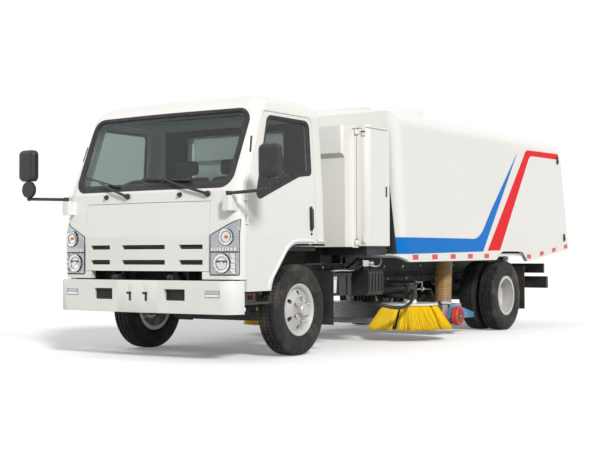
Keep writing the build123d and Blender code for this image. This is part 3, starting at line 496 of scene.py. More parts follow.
def bristle_plastic():
    look = Look("bristle_yellow", (0.97, 0.68, 0.008), Roughness=0.45)
    strand = look.noise(60.0, 3.0, (1, 1, 0.15))
    look.tint(look.spread(strand, 0.5, 0.8), (0.86, 0.5, 0.006))
    look.tint(look.spread(look.part_of("Z"), 0.16, 0.11, 0.0, 0.3), (0.3, 0.15, 0.02))
    return look.rough(strand, 0.35, 0.6).material


def hose_plastic():
    look = Look("amber_hose_plastic", (0.5, 0.3, 0.1), Roughness=0.25, Transmission_Weight=0.25,
                Coat_Weight=0.3)
    look.mottle((0.36, 0.2, 0.065), 7.0, 5.0, 0.4, 0.75)
    look.dust(0.3, 0.7, 0.5)
    return look.rough(look.noise(16.0), 0.18, 0.4).material


def tyre_compound():
    look = Look("tyre_compound", (0.016, 0.016, 0.017), Specular_IOR_Level=0.35)
    look.mottle((0.036, 0.034, 0.031), 20.0, 6.0, 0.45, 0.8)
    look.mottle(DUST, 4.0, 6.0, 0.5, 0.8, 0.35)
    look.rough(look.noise(30.0), 0.62, 0.85)
    return look.bump(look.noise(500.0, 2.0), 0.2, 0.001).material


def reflective_tape():
    look = Look("reflective_red", (0.68, 0.02, 0.015), Roughness=0.3)
    cells = look.node("ShaderNodeTexVoronoi", Vector=look.coords, Scale=160.0).outputs["Distance"]
    look.tint(look.spread(cells, 0.2, 0.7), (0.85, 0.06, 0.04))
    return look.bump(cells, 0.3, 0.0006).material


BAND_FILM = {"dirt": 0.03, "rough": (0.45, 0.5), "coat": 0.0, "Specular_IOR_Level": 0.12}

WHITE = paint("white_enamel", (0.86, 0.855, 0.82), dirt=0.1)
BLUE_BAND = paint("blue_band", (0.006, 0.19, 0.64), **BAND_FILM)
RED_BAND = paint("red_band", (0.86, 0.012, 0.022), **BAND_FILM)
LIGHT_BLUE = paint("light_blue_bracket", (0.03, 0.27, 0.5), dirt=0.2)
RIM = paint("rim_silver", (0.6, 0.6, 0.58), dirt=0.45, rough=(0.3, 0.45), Metallic=0.25)
CHASSIS = dull("chassis_black", (0.011, 0.011, 0.012), rough=(0.4, 0.6), dirt=0.1)
PLASTIC = dull("black_moulding", (0.015, 0.015, 0.016), rough=(0.38, 0.55), dirt=0.12)
# Partly painted shade: the cab's trim is darker than its own grey, standing for the shade inside the cab
TRIM = dull("cab_trim_dark_with_painted_shade", (0.018, 0.019, 0.02), rough=(0.6, 0.75), dirt=0.0)
RUBBER = dull("black_seal_rubber", (0.012, 0.012, 0.013), rough=(0.55, 0.75), dirt=0.15)
HOSE_RUBBER = dull("hydraulic_hose", (0.01, 0.01, 0.011), rough=(0.45, 0.6), grain=240.0, dirt=0.05)
TYRE = tyre_compound()
IRON = dull("engine_iron", (0.1, 0.105, 0.11), rough=(0.5, 0.7), dirt=0.4, Metallic=0.6)
GALVANISED = galvanised_metal()
CHROME = metal("lamp_chrome", (0.82, 0.83, 0.84), rough=(0.06, 0.1))
REFLECTOR = metal("lamp_reflector", (0.5, 0.51, 0.53), rough=(0.16, 0.24))
STEEL = metal("machined_steel", (0.6, 0.61, 0.62), rough=(0.15, 0.3), brushed=(1, 0.05, 1))
MIRROR = metal("mirror_silver", (0.9, 0.92, 0.93), rough=(0.02, 0.05))
BRASS = metal("valve_brass", (0.62, 0.42, 0.16), rough=(0.25, 0.4))
# Partly painted shade: the windscreen's tint is darker than the glass alone, standing for the shade inside
# the cab
SCREEN = glass("windscreen_glass", (0.5, 0.57, 0.55), shade_band=(1.98, 2.12, (0.12, 0.32, 0.32)))
SIDE_GLASS = glass("side_glass", (0.42, 0.48, 0.47))
LENS = lens("lamp_clear", (0.98, 0.98, 0.98))
AMBER = lens("lamp_amber", (0.85, 0.26, 0.01))
ORANGE = lens("side_lamp_orange", (0.85, 0.13, 0.01))
TAIL = tail_lens()
# Partly painted shade: the seat cloth is darker than its own colour, standing for the shade inside the cab
CLOTH = woven("seat_weave", (0.09, 0.095, 0.1), (0.16, 0.165, 0.17))
VINYL = dull("seat_vinyl", (0.05, 0.05, 0.053), rough=(0.45, 0.6), grain=220.0, dirt=0.0)
BRISTLE = bristle_plastic()
HOSE = hose_plastic()
RED_RUBBER = dull("caster_red", (0.6, 0.03, 0.022), rough=(0.5, 0.7), dirt=0.25, top=0.4)
TAPE_RED = reflective_tape()
DIAL = dull("dial_black", (0.008, 0.008, 0.009), rough=(0.2, 0.3), grain_depth=0.02, dirt=0.0)

# CAD nodes by material; a star stands for left and right
FINISHES = [
    (WHITE, ["door_*", "front_lid", "cab_front", "cab_back", "cab_roof", "front_bumper", "power_pod",
             "pod_door_*", "hopper_tub", "hopper_skin", "tailgate", "broom_disc_*"]),
    (CHASSIS, ["frame_rails", "frame_crossmembers", "front_axle", "knuckle_*", "rear_axle", "rear_bumper",
               "ram_barrels", "broom_arm_*"]),
    (RIM, ["front_rim_*", "rear_rims_*"]),
    (TYRE, ["front_tyre_*", "rear_tyres_*"]),
    (IRON, ["engines"]),
    (SCREEN, ["cab_glass"]),
    (SIDE_GLASS, ["door_glass_*"]),
    (LENS, ["headlamps"]),
    (REFLECTOR, ["lamp_housings"]),
    (TAIL, ["chassis_lamps"]),
    (PLASTIC, ["wheel_arches", "mirrors", "side_tanks", "steering_wheel", "grille_slats"]),
    (TRIM, ["dashboard", "cab_floor"]),
    (CLOTH, ["seats"]),
    (RUBBER, ["mudflaps", "feed_hose_*"]),
    (STEEL, ["ram_rods"]),
    (GALVANISED, ["suction_nozzle"]),
    (HOSE, ["suction_hoses"]),
    (BRISTLE, ["bristles_*"]),
    (RED_RUBBER, ["caster_*"]),
    (LIGHT_BLUE, ["nozzle_brackets"]),
]
SOFT_EDGES = ["front_bumper", "power_pod", "pod_door_*", "tailgate", "side_tanks", "wheel_arches",
              "rear_bumper", "engines", "dashboard", "nozzle_brackets", "suction_nozzle",
              "frame_crossmembers"]
SOFT_EDGE = 0.005


def sided(names):
    """The names with each star written out."""
    return [name.replace("*", word) for name in names
            for word in (("left", "right") if "*" in name else ("",))]


def dress_nodes():
    for material, names in FINISHES:
        for name in sided(names):
            NODES[name].data.materials.clear()
            NODES[name].data.materials.append(material)
    for name in sided(SOFT_EDGES):
        join = NODES[name].modifiers.new("join", "WELD")
        join.merge_threshold = 0.00005
        round_edges(NODES[name], SOFT_EDGE, 35)


# Cab outside

SCREEN_CORNERS = [(-0.872, 1.462), (0.872, 1.462), (0.884, 2.126), (-0.884, 2.126)]
SCREEN_R = 0.11
WINDOW_CORNERS = [(-0.752, 1.345), (-0.52, 2.074), (0.1, 2.074), (0.1, 1.605), (-0.09, 1.585)]
WINDOW_RADII = [0.04, 0.07, 0.06, 0.04, 0.3]
# Pivot, end of the arm and both ends of the blade, each as x and z
WIPERS = [((-0.198, 1.4), (-0.56, 1.53), (-0.81, 1.6), (-0.32, 1.487)),
          ((0.665, 1.4), (0.2, 1.535), (-0.07, 1.55), (0.45, 1.52))]
JETS = [(-0.462, 1.4), (0.378, 1.4)]
# Low and high z of the grille's rows, low and high x of the slots in each
GRILLE_ROWS = [(0.942, 0.979), (0.811, 0.851)]
GRILLE_SLOTS = [(-0.635, -0.39), (-0.245, 0.245), (0.39, 0.635)]
MIRROR_BACK = -1.034
# Side, low and high edge of each mirror's head
MIRROR_HEADS = [(1, 1.5, 1.775), (-1, 1.572, 1.86)]


def screen_seal():
    edge = refined(rounded(SCREEN_CORNERS, SCREEN_R, 8), 0.08, closed=True)
    bm = bmesh.new()
    layers = [(CAB_FACE, 0.016, -0.002), (CAB_FACE, 0.011, 0.005), (PANE, -0.014, 0.016),
              (PANE, -0.024, 0.006), (PANE, -0.026, -0.002)]
    add_seal(bm, edge, on_front, layers)
    piece("windscreen_seal", bm, RUBBER, "cab")
    bm = bmesh.new()
    add_seal(bm, edge, on_front, [(PANE, -0.024, 0.0012), (PANE, -0.05, 0.0012)])
    piece("windscreen_border", bm, PLASTIC, "cab")


def wipers():
    bm = bmesh.new()
    normal = Vector((0, -1, 0.12)).normalized()
    hub = [(-0.004, 0.026), (0.012, 0.026), (0.018, 0.02), (0.034, 0.018), (0.038, 0.012), (0.038, 0.001)]
    arm_radii = [0.013 - 0.0004 * k for k in range(13)]
    for pivot, end, low, high in WIPERS:
        root = on_front(*pivot)
        add_lathe(bm, hub, root, normal, 20)
        tip = on_front(*end, 0.04, PANE)
        lift = root + normal * 0.03
        middle = (lift + tip) / 2 - BACK * 0.022
        add_tube(bm, smooth_path([lift, middle, tip], 6), arm_radii, 8)
        blade = spaced(Vector(low), Vector(high), 12)
        spine, wiping = [[on_front(p.x, p.y, out, PANE) for p in blade] for out in (0.03, 0.0005)]
        add_tube(bm, spine, 0.006, 8)
        add_rings(bm, [[top + UP * 0.003, edge + UP * 0.001, edge - UP * 0.001, top - UP * 0.003]
                       for top, edge in zip(spine, wiping)])
    # Washer jets on the panel below the windscreen
    for spot in JETS:
        jet = [(-0.004, 0.022), (0.008, 0.022), (0.02, 0.014), (0.03, 0.012), (0.032, 0.001)]
        add_lathe(bm, jet, on_front(*spot), (0, -1, 0.1), 16)
    piece("wipers_and_jets", bm, PLASTIC, "cab")


def window_seals():
    outline = rounded(WINDOW_CORNERS, WINDOW_RADII, 8)
    for word, side in SIDES:
        door, pane = ["door_" + word], ["door_glass_" + word]
        bm = bmesh.new()
        layers = [(door, 0.012, -0.002), (door, 0.008, 0.004), (pane, -0.012, 0.014), (pane, -0.026, 0.004),
                  (pane, -0.028, -0.002)]
        add_seal(bm, outline, side_face(side), layers)
        piece("window_seal_" + word, bm, RUBBER, "door_" + word)


def door_handles():
    plate = rounded(rect(0.055, 0.101, 1.1, 1.32), 0.014)
    grip = rounded(rect(0.064, 0.092, 1.12, 1.3), 0.01)
    lock = [(-0.002, 0.013), (0.004, 0.013), (0.005, 0.01), (0.004, 0.001)]
    for word, side in SIDES:
        face = side_face(side, "door_" + word)
        bm = bmesh.new()
        add_layers(bm, plate, face, [(0, -0.002), (0, 0.004), (-0.004, 0.007)])
        add_layers(bm, grip, face, [(0, 0.007), (0, 0.02), (-0.006, 0.026)])
        add_lathe(bm, lock, face(0.078, 1.075), (side, 0, 0), 18)
        piece("door_handle_" + word, bm, PLASTIC, "door_" + word)


def mirror_glass():
    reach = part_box("mirrors")[1].x
    bm = bmesh.new()
    for side, z0, z1 in MIRROR_HEADS:
        x0, x1 = sorted((side * (reach - 0.186), side * (reach - 0.008)))
        outline = rounded(rect(x0, x1, z0 + 0.01, z1 - 0.01), 0.04)
        add_layers(bm, outline, lambda x, z, out: at(x, MIRROR_BACK + out, z),
                   [(0, -0.002), (0, 0.001), (-0.01, 0.0025)])
    piece("mirror_glass", bm, MIRROR, "cab")


def grille_inserts():
    bm = bmesh.new()
    for z0, z1 in GRILLE_ROWS:
        above = z1 + 0.006
        # Level in the slot, depth and half thickness of the backing and of two slats
        bars = [(0.5, -0.05, (z1 - z0) / 2 + 0.003), (0.28, -0.026, 0.002), (0.72, -0.026, 0.002)]
        for x0, x1 in GRILLE_SLOTS:
            for level, depth, half in bars:
                z = z0 + (z1 - z0) * level
                section = [(0, -half), (0, half), (0.012, half), (0.012, -half)]
                add_rings(bm, [[Vector((x, on_front(x, above, depth).y + dy, z + dz)) for dy, dz in section]
                               for x in spaced(x0, x1, 10)])
            for x in spaced(x0, x1, 12)[1:-1]:
                y = on_front(x, above, -0.03).y
                add_box(bm, Vector((x - 0.0015, y, z0)), Vector((x + 0.0015, y + 0.02, z1)))
    piece("grille_inserts", bm, PLASTIC, "front_lid")


def radiator():
    """Fins seen through the lower opening, between the rails, with tanks above and below."""
    bm = bmesh.new()
    add_blocks(bm, [(-0.25, 0.25, -0.83, -0.79, 0.5, 0.785)])
    add_blocks(bm, [(-0.26, 0.26, -0.844, -0.784, z, z + 0.02) for z in (0.5, 0.765)])
    fins = spaced(-0.24375, 0.24375, 39)
    add_blocks(bm, [(x - 0.0015, x + 0.0015, -0.838, -0.83, 0.52, 0.765) for x in fins])
    # Shields beside it, up to the bumper's ends
    add_blocks(bm, [(0.26, 0.66, -0.8, -0.792, 0.56, 0.795)], sides=BOTH)
    piece("radiator", bm, PLASTIC, "chassis")


def bumper_trim():
    bm, hoods, bars = [bmesh.new() for _ in range(3)]
    bumper = ["front_bumper"]
    x0, x1, z0, z1 = 0.285, 0.515, 0.507, 0.612
    for side in BOTH:
        # Dark nets in the two openings
        place = Vector((0, on_front(side * (x0 + x1) / 2, 0.62, -0.035, bumper).y, 0))
        net = [(x0, x1, 0, 0.006, z0, z1)]
        net += [(x0, x1, -0.008, 0, z - 0.002, z + 0.002) for z in spaced(z0, z1, 6)[1:-1]]
        net += [(x - 0.002, x + 0.002, -0.006, 0, z0, z1) for x in spaced(x0, x1, 12)[1:-1]]
        add_blocks(bm, net, place, (side,))
        # Plate bracket slots
        slots = [(-0.026, 0.026, -0.003, 0.004, 0.002, 0.022), (0, 0.024, -0.003, 0.004, -0.054, 0.014)]
        add_blocks(bm, slots, on_front(side * 0.09, 0.56, 0.0, bumper))
        # Fog lamps: a grey hood over a bright lower half
        for target, low, high, lift in [(hoods, 0.572, 0.594, 0.002), (hoods, 0.5435, 0.547, 0.002),
                                        (bars, 0.55, 0.566, 0.0012)]:
            section = [(low, -0.001), (low, lift), (high, lift), (high, -0.001)]
            add_rings(target, [[on_front(side * x, z, out, ["chassis_lamps"]) for z, out in section]
                               for x in spaced(0.722, 0.857, 8)])
    piece("bumper_nets", bm, PLASTIC, "chassis", bevel=0.001)
    piece("fog_lamp_hoods", hoods, REFLECTOR, "chassis")
    piece("fog_lamp_bars", bars, CHROME, "chassis")


def arch_lips():
    """A rolled lip round each front wheel arch: on the door, and behind it on the cab's rear panel."""
    corners = [(-0.545, 0.6), (-0.545, 0.65), (-0.24, 0.995), (0.32, 0.995), (0.32, 0.6)]
    path = refined(rounded(corners, [0, 0.25, 0.25, 0, 0], 10)[:-1], 0.03)
    section = [(0.034, -0.001), (0.03, 0.004), (0.022, 0.009), (0.012, 0.01), (0.006, 0.006), (0.005, -0.004)]
    for word, side in SIDES:
        door = "door_" + word
        for body, node, low, high in [(door, door, -1, 0.14), ("cab", "cab_back", 0.165, 1)]:
            face = side_face(side, node)
            line = normals([p for p in path if low < p.x < high])
            bm = bmesh.new()
            add_rings(bm, [[face(p.x - out * n.x, p.y - out * n.y, lift) for p, n in line]
                           for out, lift in section], closed=False)
            piece("arch_lip_" + body + "_" + word, bm, WHITE, body, sharp=60)


def pillar_vents():
    """Slim black vents on the pillars beside the windscreen."""
    bm = bmesh.new()
    way = Vector((0.75, -0.66, 0))
    spots = spaced(at(0.9347, -0.7265, 1.887), at(0.9524, -0.7678, 1.751), 8)
    add_tube(bm, [cast(spot + way, -way, ["cab_roof"], 0.001) for spot in spots], 0.009, 10)
    mirror_x(bm)
    piece("pillar_vents", bm, PLASTIC, "cab")


def side_lamps():
    """Orange lamps on brackets below the doors."""
    lamps, holders = bmesh.new(), bmesh.new()
    outline = rounded(rect(-0.84, -0.755, 0.522, 0.56), 0.01)
    add_layers(lamps, outline, lambda y, z, out: at(0.975 + out, y, z),
               [(0, -0.002), (0, 0.006), (-0.006, 0.01)])
    add_blocks(holders, [(0.93, 0.975, -0.865, -0.73, 0.5, 0.575)])
    mirror_x(lamps)
    mirror_x(holders)
    piece("side_lamps", lamps, ORANGE, "cab")
    piece("side_lamp_holders", holders, PLASTIC, "cab", bevel=0.003)


# Headlamps

LAMP_X = (0.712, 0.976)
LAMP_FOOT = 0.729
LAMP_TOP = (1.057, 1.186)
LAMP_SPLIT = 0.916
LAMP_HOST = ["cab_front", "headlamps"]
LAMP_AXIS = (0.06, -1, 0)
RIBS = 9
RIB_PITCH = 0.027
FACETS = 4
FACET_PITCH = 0.042


def lamp_spot(x, z, out):
    return on_front(x, z, out, LAMP_HOST)


def lamp_x(share):
    return LAMP_X[0] + (LAMP_X[1] - LAMP_X[0]) * share


def in_lamp(share, rise, out):
    """A place in the lamp's outline, whose top edge slopes up towards the corner."""
    top = LAMP_TOP[0] + (LAMP_TOP[1] - LAMP_TOP[0]) * share
    return lamp_spot(lamp_x(share), LAMP_FOOT + (top - LAMP_FOOT) * rise, out)


def lamp_layer(bm, front, thick, columns=14, levels=16):
    """A closed sheet over the lamp's outline: front gives how far it stands out."""
    ups = spaced(0, 1, levels)
    rows = []
    for u in spaced(0, 1, columns):
        rows.append([in_lamp(u, v, front(u, v)) for v in ups]
                    + [in_lamp(u, v, front(u, v) - thick) for v in reversed(ups)])
    add_rings(bm, rows)


def lens_crown(u, v):
    return 0.006 + 0.018 * (1 - (2 * u - 1) ** 8) * (1 - (2 * v - 1) ** 8)


def add_bowl(bright, bulb_bm, shield_and_painted_shade_rings, x, z, radius):
    """A faceted bowl with its bulb, and grey rings of painted shade round its rim and half way in."""
    seat = lamp_spot(x, z, 0.002)
    bowl = [(0.0, radius), (0.013, radius), (0.015, radius - 0.004), (0.008, radius * 0.72),
            (0.006, radius * 0.7), (0.003, radius * 0.35), (0.002, radius * 0.1)]
    add_lathe(bright, bowl, seat, LAMP_AXIS, 12)
    bulb = [(0.0, radius * 0.18), (0.01, radius * 0.2), (0.014, radius * 0.13), (0.015, 0.001)]
    add_lathe(bulb_bm, bulb, seat, LAMP_AXIS, 16)
    across = Vector((1, LAMP_AXIS[0], 0))
    # Painted shade: grey rings that darken the chrome round the bowl's rim and half way in
    for ring, lift in [(radius + 0.001, 0.008), (radius * 0.68, 0.007)]:
        add_tube(shield_and_painted_shade_rings, circle(seat - BACK * lift, across, UP, ring, 24), 0.003, 8, loop=True)


def lamp_units():
    """Headlamps: a pan, a dark frame with a split, a ribbed bar, two bowls with bulbs and a crowned lens."""
    pan, cover, frames, bright, bulbs, shield_and_painted_shade_rings = [bmesh.new() for _ in range(6)]
    lamp_layer(pan, lambda u, v: 0.0025, 0.0045)
    lamp_layer(cover, lens_crown, 0.002)
    outline = refined([Vector(p) for p in rect(0, 1, 0, 1)], 1 / 14, closed=True)
    add_tube(frames, [in_lamp(p.x, p.y, 0.003) for p in outline], 0.0038, 8, loop=True)
    add_tube(frames, [lamp_spot(x, LAMP_SPLIT, 0.003) for x in spaced(*LAMP_X, 14)], 0.0055, 8)
    # Ribs of the bar above the split
    for k in range(RIBS):
        x = LAMP_X[0] + 0.014 + RIB_PITCH * k
        rib = [lamp_spot(*p, 0.002) for p in rect(x, x + 0.018, 0.926, 0.952)]
        add_raised(bright, rib, [0.006] * 4)
    add_bowl(bright, bright, shield_and_painted_shade_rings, 0.83, 0.822, 0.08)
    add_bowl(bright, bulbs, shield_and_painted_shade_rings, 0.872, 1.04, 0.068)
    # Shade across the lower bowl, and facets beside it
    add_raised(shield_and_painted_shade_rings, [lamp_spot(*p, 0.006) for p in rect(0.757, 0.903, 0.829, 0.846)], [0.006] * 4)
    for k in range(FACETS):
        z = 0.742 + FACET_PITCH * k
        facet = [lamp_spot(*p, 0.002) for p in rect(0.925, 0.955, z, z + 0.036)]
        add_raised(bright, facet, [0.004, 0.01, 0.016, 0.022])
    # Name, shapes, material, angle of sharp edges, node that it stands for
    rows = [("headlamp_pans", pan, REFLECTOR, 20, "lamp_housings"),
            ("headlamp_lenses", cover, LENS, 50, "headlamps"),
            ("headlamp_frames", frames, PLASTIC, SHARP, None),
            ("headlamp_bowls", bright, CHROME, 20, None),
            ("headlamp_shield_and_painted_shade_rings", shield_and_painted_shade_rings, IRON, SHARP, None),
            ("indicator_bulbs", bulbs, AMBER, SHARP, None)]
    for name, bm, material, sharp, node in rows:
        mirror_x(bm)
        piece(name, bm, material, "cab", sharp=sharp, stands_for=node)


def lamp_corners():
    """Painted trim between each headlamp and the door."""
    bm = bmesh.new()
    section = [(z, 0.0015) for z in (0.716, 0.8, 0.9, 1.0, 1.112)] + [(1.112, -0.003), (0.716, -0.003)]
    rows = []
    for a in spaced(math.radians(50), math.radians(73), 9):
        way = Vector((math.sin(a), -math.cos(a), 0))
        rows.append([cast(at(0.86, -0.86, z) + way, -way, LAMP_HOST, out) for z, out in section])
    add_rings(bm, rows)
    mirror_x(bm)
    piece("headlamp_corner_trims", bm, WHITE, "cab", sharp=50)


# Wheels

TREAD_BLOCKS = 72
# Share of the pitch and depth of the cross groove
BLOCK_ROWS = [(0.0, 0.0), (0.76, 0.0), (0.8, 0.006), (0.96, 0.006)]
GROOVE_DEEP = 0.011
GROOVE_SHIFT = 0.003
# Name, body, rim, distance of the seat from the middle of the truck, radius of the bolt circle
NUT_ROWS = [("front_wheel_nuts_", "wheel_front_", "front_rim_", 0.9345, 0.1),
            ("rear_wheel_nuts_", "wheels_rear_", "rear_rims_", 0.837, 0.094)]
NUTS = 6


def tread_profile():
    """(x, radius, share of the groove's shift) across the tyre: bead, wall, shoulder, ribs and grooves."""
    wall = [(-0.0755, 0.206), (-0.0755, 0.232), (-0.084, 0.236), (-0.089, 0.245), (-0.0985, 0.275),
            (-0.101, 0.2765), (-0.1045, 0.3), (-TYRE_HALF, 0.318), (-TYRE_HALF + 0.001, 0.332),
            (-TYRE_HALF + 0.003, 0.345), (-TYRE_HALF + 0.0055, 0.348), (-TYRE_HALF + 0.0125, 0.378),
            (-TYRE_HALF + 0.02, 0.391), (-TYRE_HALF + 0.027, TYRE_R - 0.0062)]
    crown = []
    for x in (-0.045, 0.0, 0.045):
        top = TYRE_R - 0.0022 if x else TYRE_R - 0.0002
        crown += [(x - 0.008, top, 1), (x - 0.006, top - GROOVE_DEEP, 1), (x + 0.006, top - GROOVE_DEEP, 1),
                  (x + 0.008, top, 1)]
    return [(x, r, 0) for x, r in wall] + crown + [(-x, r, 0) for x, r in reversed(wall)]


def add_tyre(bm, centre):
    rows = []
    for block in range(TREAD_BLOCKS):
        shift = GROOVE_SHIFT if block % 2 else -GROOVE_SHIFT
        for share, depth in BLOCK_ROWS:
            a = 2 * math.pi * (block + share) / TREAD_BLOCKS
            row = []
            for x, r, groove in tread_profile():
                in_groove = groove and r < TYRE_R - 0.008
                notched = r > TYRE_R - 0.017 and not in_groove
                reach = r - depth if notched else r
                row.append(centre + Vector((x + shift * groove, math.sin(a) * reach, math.cos(a) * reach)))
            rows.append(row)
    add_rings(bm, rows, closed=False, loop=True)


def tyres():
    for word, _ in SIDES:
        for name, node, body in [("front_tread_", "front_tyre_", "wheel_front_"),
                                 ("rear_treads_", "rear_tyres_", "wheels_rear_")]:
            low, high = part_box(node + word)
            reach = (high.x - low.x) / 2 - TYRE_HALF
            shifts = (-reach, reach) if node == "rear_tyres_" else (0,)
            bm = bmesh.new()
            for shift in shifts:
                add_tyre(bm, centre_of(node + word) + Vector((shift, 0, 0)))
            piece(name + word, bm, TYRE, body + word, sharp=30, stands_for=node + word)


def wheel_nuts():
    """Six nuts on their studs for each wheel."""
    nut = [(-0.004, 0.019), (0.003, 0.019), (0.004, 0.0165), (0.024, 0.0165), (0.027, 0.013),
           (0.028, 0.001)]
    stud = [(0.02, 0.01), (0.038, 0.01), (0.041, 0.007), (0.041, 0.001)]
    for word, side in SIDES:
        for name, body, rim, seat, pitch in NUT_ROWS:
            bm = bmesh.new()
            middle = Vector((side * seat, centre_of(rim + word).y, TYRE_R))
            for a in full_turn(NUTS, 0.5):
                foot = middle + (BACK * math.cos(a) + UP * math.sin(a)) * pitch
                add_lathe(bm, nut, foot, (side, 0, 0), 6)
                add_lathe(bm, stud, foot, (side, 0, 0), 10)
            piece(name + word, bm, STEEL, body + word)


# Hopper

HOPPER_CORNER = 0.12
# Distance behind the front axle and height along the side's lower edge
LOWER_EDGE = [(1.52, 0.88), (1.678, 0.816), (3.74, 0.826), (3.9, 0.922), (4.49, 0.922), (4.64, 0.802),
              (5.9, 0.945)]
FILM = 0.0009
TAPE_LONG = 0.12
TAPE_LOW = 0.022
TAPE_HIGH = 0.072
TAPE_ENDS = (1.74, 5.85)
WHEEL_GAP = (3.7, 4.62)
# A toggle latch: base, lever and hook
LATCH = [(0.0, 0.008, -0.02, 0.02, -0.045, 0.045), (0.008, 0.02, -0.013, 0.013, -0.038, 0.01),
         (0.008, 0.016, -0.006, 0.006, 0.01, 0.05)]


def hopper_front(z):
    """Where the hopper's leaning front face is at a height."""
    return 1.52 - (z - 0.88) * 0.125 / 1.505


def rear_edge(z):
    """Where the side ends at the tailgate, at a height."""
    return 5.914 - 0.2266 * (z - 0.95)


def on_hopper(y, z, side, out):
    return at(side * (HOPPER_HALF + out), y, z)


def hopper_corner_point(angle, z, side, out):
    """On the round front corner: angle 0 is where it joins the side."""
    reach = HOPPER_CORNER + out
    return at(side * (HOPPER_HALF - HOPPER_CORNER + math.cos(angle) * reach),
              hopper_front(z) + HOPPER_CORNER - math.sin(angle) * reach, z)


def lower_edge(y):
    for (y0, z0), (y1, z1) in zip(LOWER_EDGE, LOWER_EDGE[1:]):
        if y <= y1:
            return z0 + (z1 - z0) * max(0.0, (y - y0) / (y1 - y0))
    return LOWER_EDGE[-1][1]


def add_blue_band(bm, side):
    """A level band from the front corner that turns up into a point."""
    start = hopper_front(0.98) + HOPPER_CORNER
    tip = Vector((4.361, 2.105))
    low_line = spaced(Vector((start, 0.896)), Vector((3.386, 0.921)), 24)
    high_line = spaced(Vector((start, 1.062)), Vector((2.95, 1.062)), 24)
    edge = smooth_path([(2.95, 1.062), (3.2, 1.067), (3.36, 1.14), (3.47, 1.25), (3.6, 1.385)], 5)
    edge += spaced(edge[-1], tip, 12)[1:]
    rise = spaced(low_line[-1], tip, len(edge) - 1)
    rows = []
    for line in (low_line, high_line):
        bend = [hopper_corner_point(1.5 - 0.125 * k, line[0].y, side, FILM) for k in range(12)]
        rows.append(bend + [on_hopper(*p, side, FILM) for p in line])
    add_rings(bm, rows, closed=False)
    add_rings(bm, [[on_hopper(*p, side, FILM) for p in line] for line in (rise, edge)], closed=False)
    bmesh.ops.remove_doubles(bm, verts=bm.verts, dist=0.0005)


def add_red_band(bm, side):
    """A slanting band that turns level along the roof's edge."""
    left = [(3.504, 0.93), (4.55, 2.075), (4.585, 2.12), (4.65, 2.147), (rear_edge(2.166), 2.166)]
    right = [(3.842, 0.935), (4.66, 2.0), (4.7, 2.05), (4.76, 2.082), (rear_edge(2.096), 2.096)]
    add_rings(bm, [[on_hopper(*p, side, FILM) for p in line] for line in (left, right)], closed=False)


def add_tape(bm, side):
    """Red blocks of reflective tape along the lower edge, left out over the rear wheels."""
    y = TAPE_ENDS[0]
    while y < TAPE_ENDS[1]:
        if not WHEEL_GAP[0] < y < WHEEL_GAP[1]:
            a, b = lower_edge(y), lower_edge(y + TAPE_LONG)
            outline = [(y, a + TAPE_LOW), (y + TAPE_LONG, b + TAPE_LOW), (y + TAPE_LONG, b + TAPE_HIGH),
                       (y, a + TAPE_HIGH)]
            add_rings(bm, [[on_hopper(*p, side, out) for p in outline] for out in (0.0, 0.0012)])
        y += 0.42 if y < 3.4 else 0.4


def stripes():
    for word, side in SIDES:
        for name, add, material in [("blue_band_", add_blue_band, BLUE_BAND),
                                    ("red_band_", add_red_band, RED_BAND),
                                    ("tape_blocks_", add_tape, TAPE_RED)]:
            bm = bmesh.new()
            add(bm, side)
            piece(name + word, bm, material, "hopper")


def hopper_latches():
    bm = bmesh.new()
    for side in BOTH:
        for z, back in [(2.08, 0.05), (1.1, 0.06)]:
            add_blocks(bm, LATCH, at(side * HOPPER_HALF, rear_edge(z) - back, z), (side,))
    piece("hopper_latches", bm, PLASTIC, "hopper", bevel=0.0015)


def hopper_front_painted_shade():
    """Painted shade: a dark sheet on the hopper's front face, where it lies in shade in the gap behind the
    compartment; it widens round the corners towards its foot.
    """
    bm = bmesh.new()
    edge, levels = math.pi / 2, 12
    rows = []
    for z, last in zip(spaced(0.9, 1.84, levels), spaced(math.radians(62), edge, levels)):
        angles = spaced(last, edge, 6)
        row = []
        for out, first in [(0.003, 1), (-0.001, -1)]:
            row += [hopper_corner_point(a, z, first, out) for a in angles]
            row += [hopper_corner_point(a, z, -first, out) for a in reversed(angles)]
        rows.append(row)
    add_rings(bm, rows)
    piece("hopper_front_painted_shade", bm, RUBBER, "hopper")


def hopper_header():
    """Panel that leans from the tailgate's hinge line to the roof."""
    bm = bmesh.new()
    half = HOPPER_HALF - 0.055
    foot_z, top_y, thick = 2.19, 5.46, 0.008
    rows = []
    for x in spaced(-half, half, 24):
        foot = at(x, rear_edge(foot_z) - 0.012, foot_z)
        # A line a little to one side meets a face of the roof and not the edge between two
        roof = cast(at(x + 0.0007, top_y, foot_z + 0.01), UP, ["hopper_skin"], -0.004)
        top = Vector((x, roof.y, roof.z))
        rows.append([foot, top, top - BACK * thick, foot - BACK * thick])
    add_rings(bm, rows)
    piece("hopper_header", bm, WHITE, "hopper")


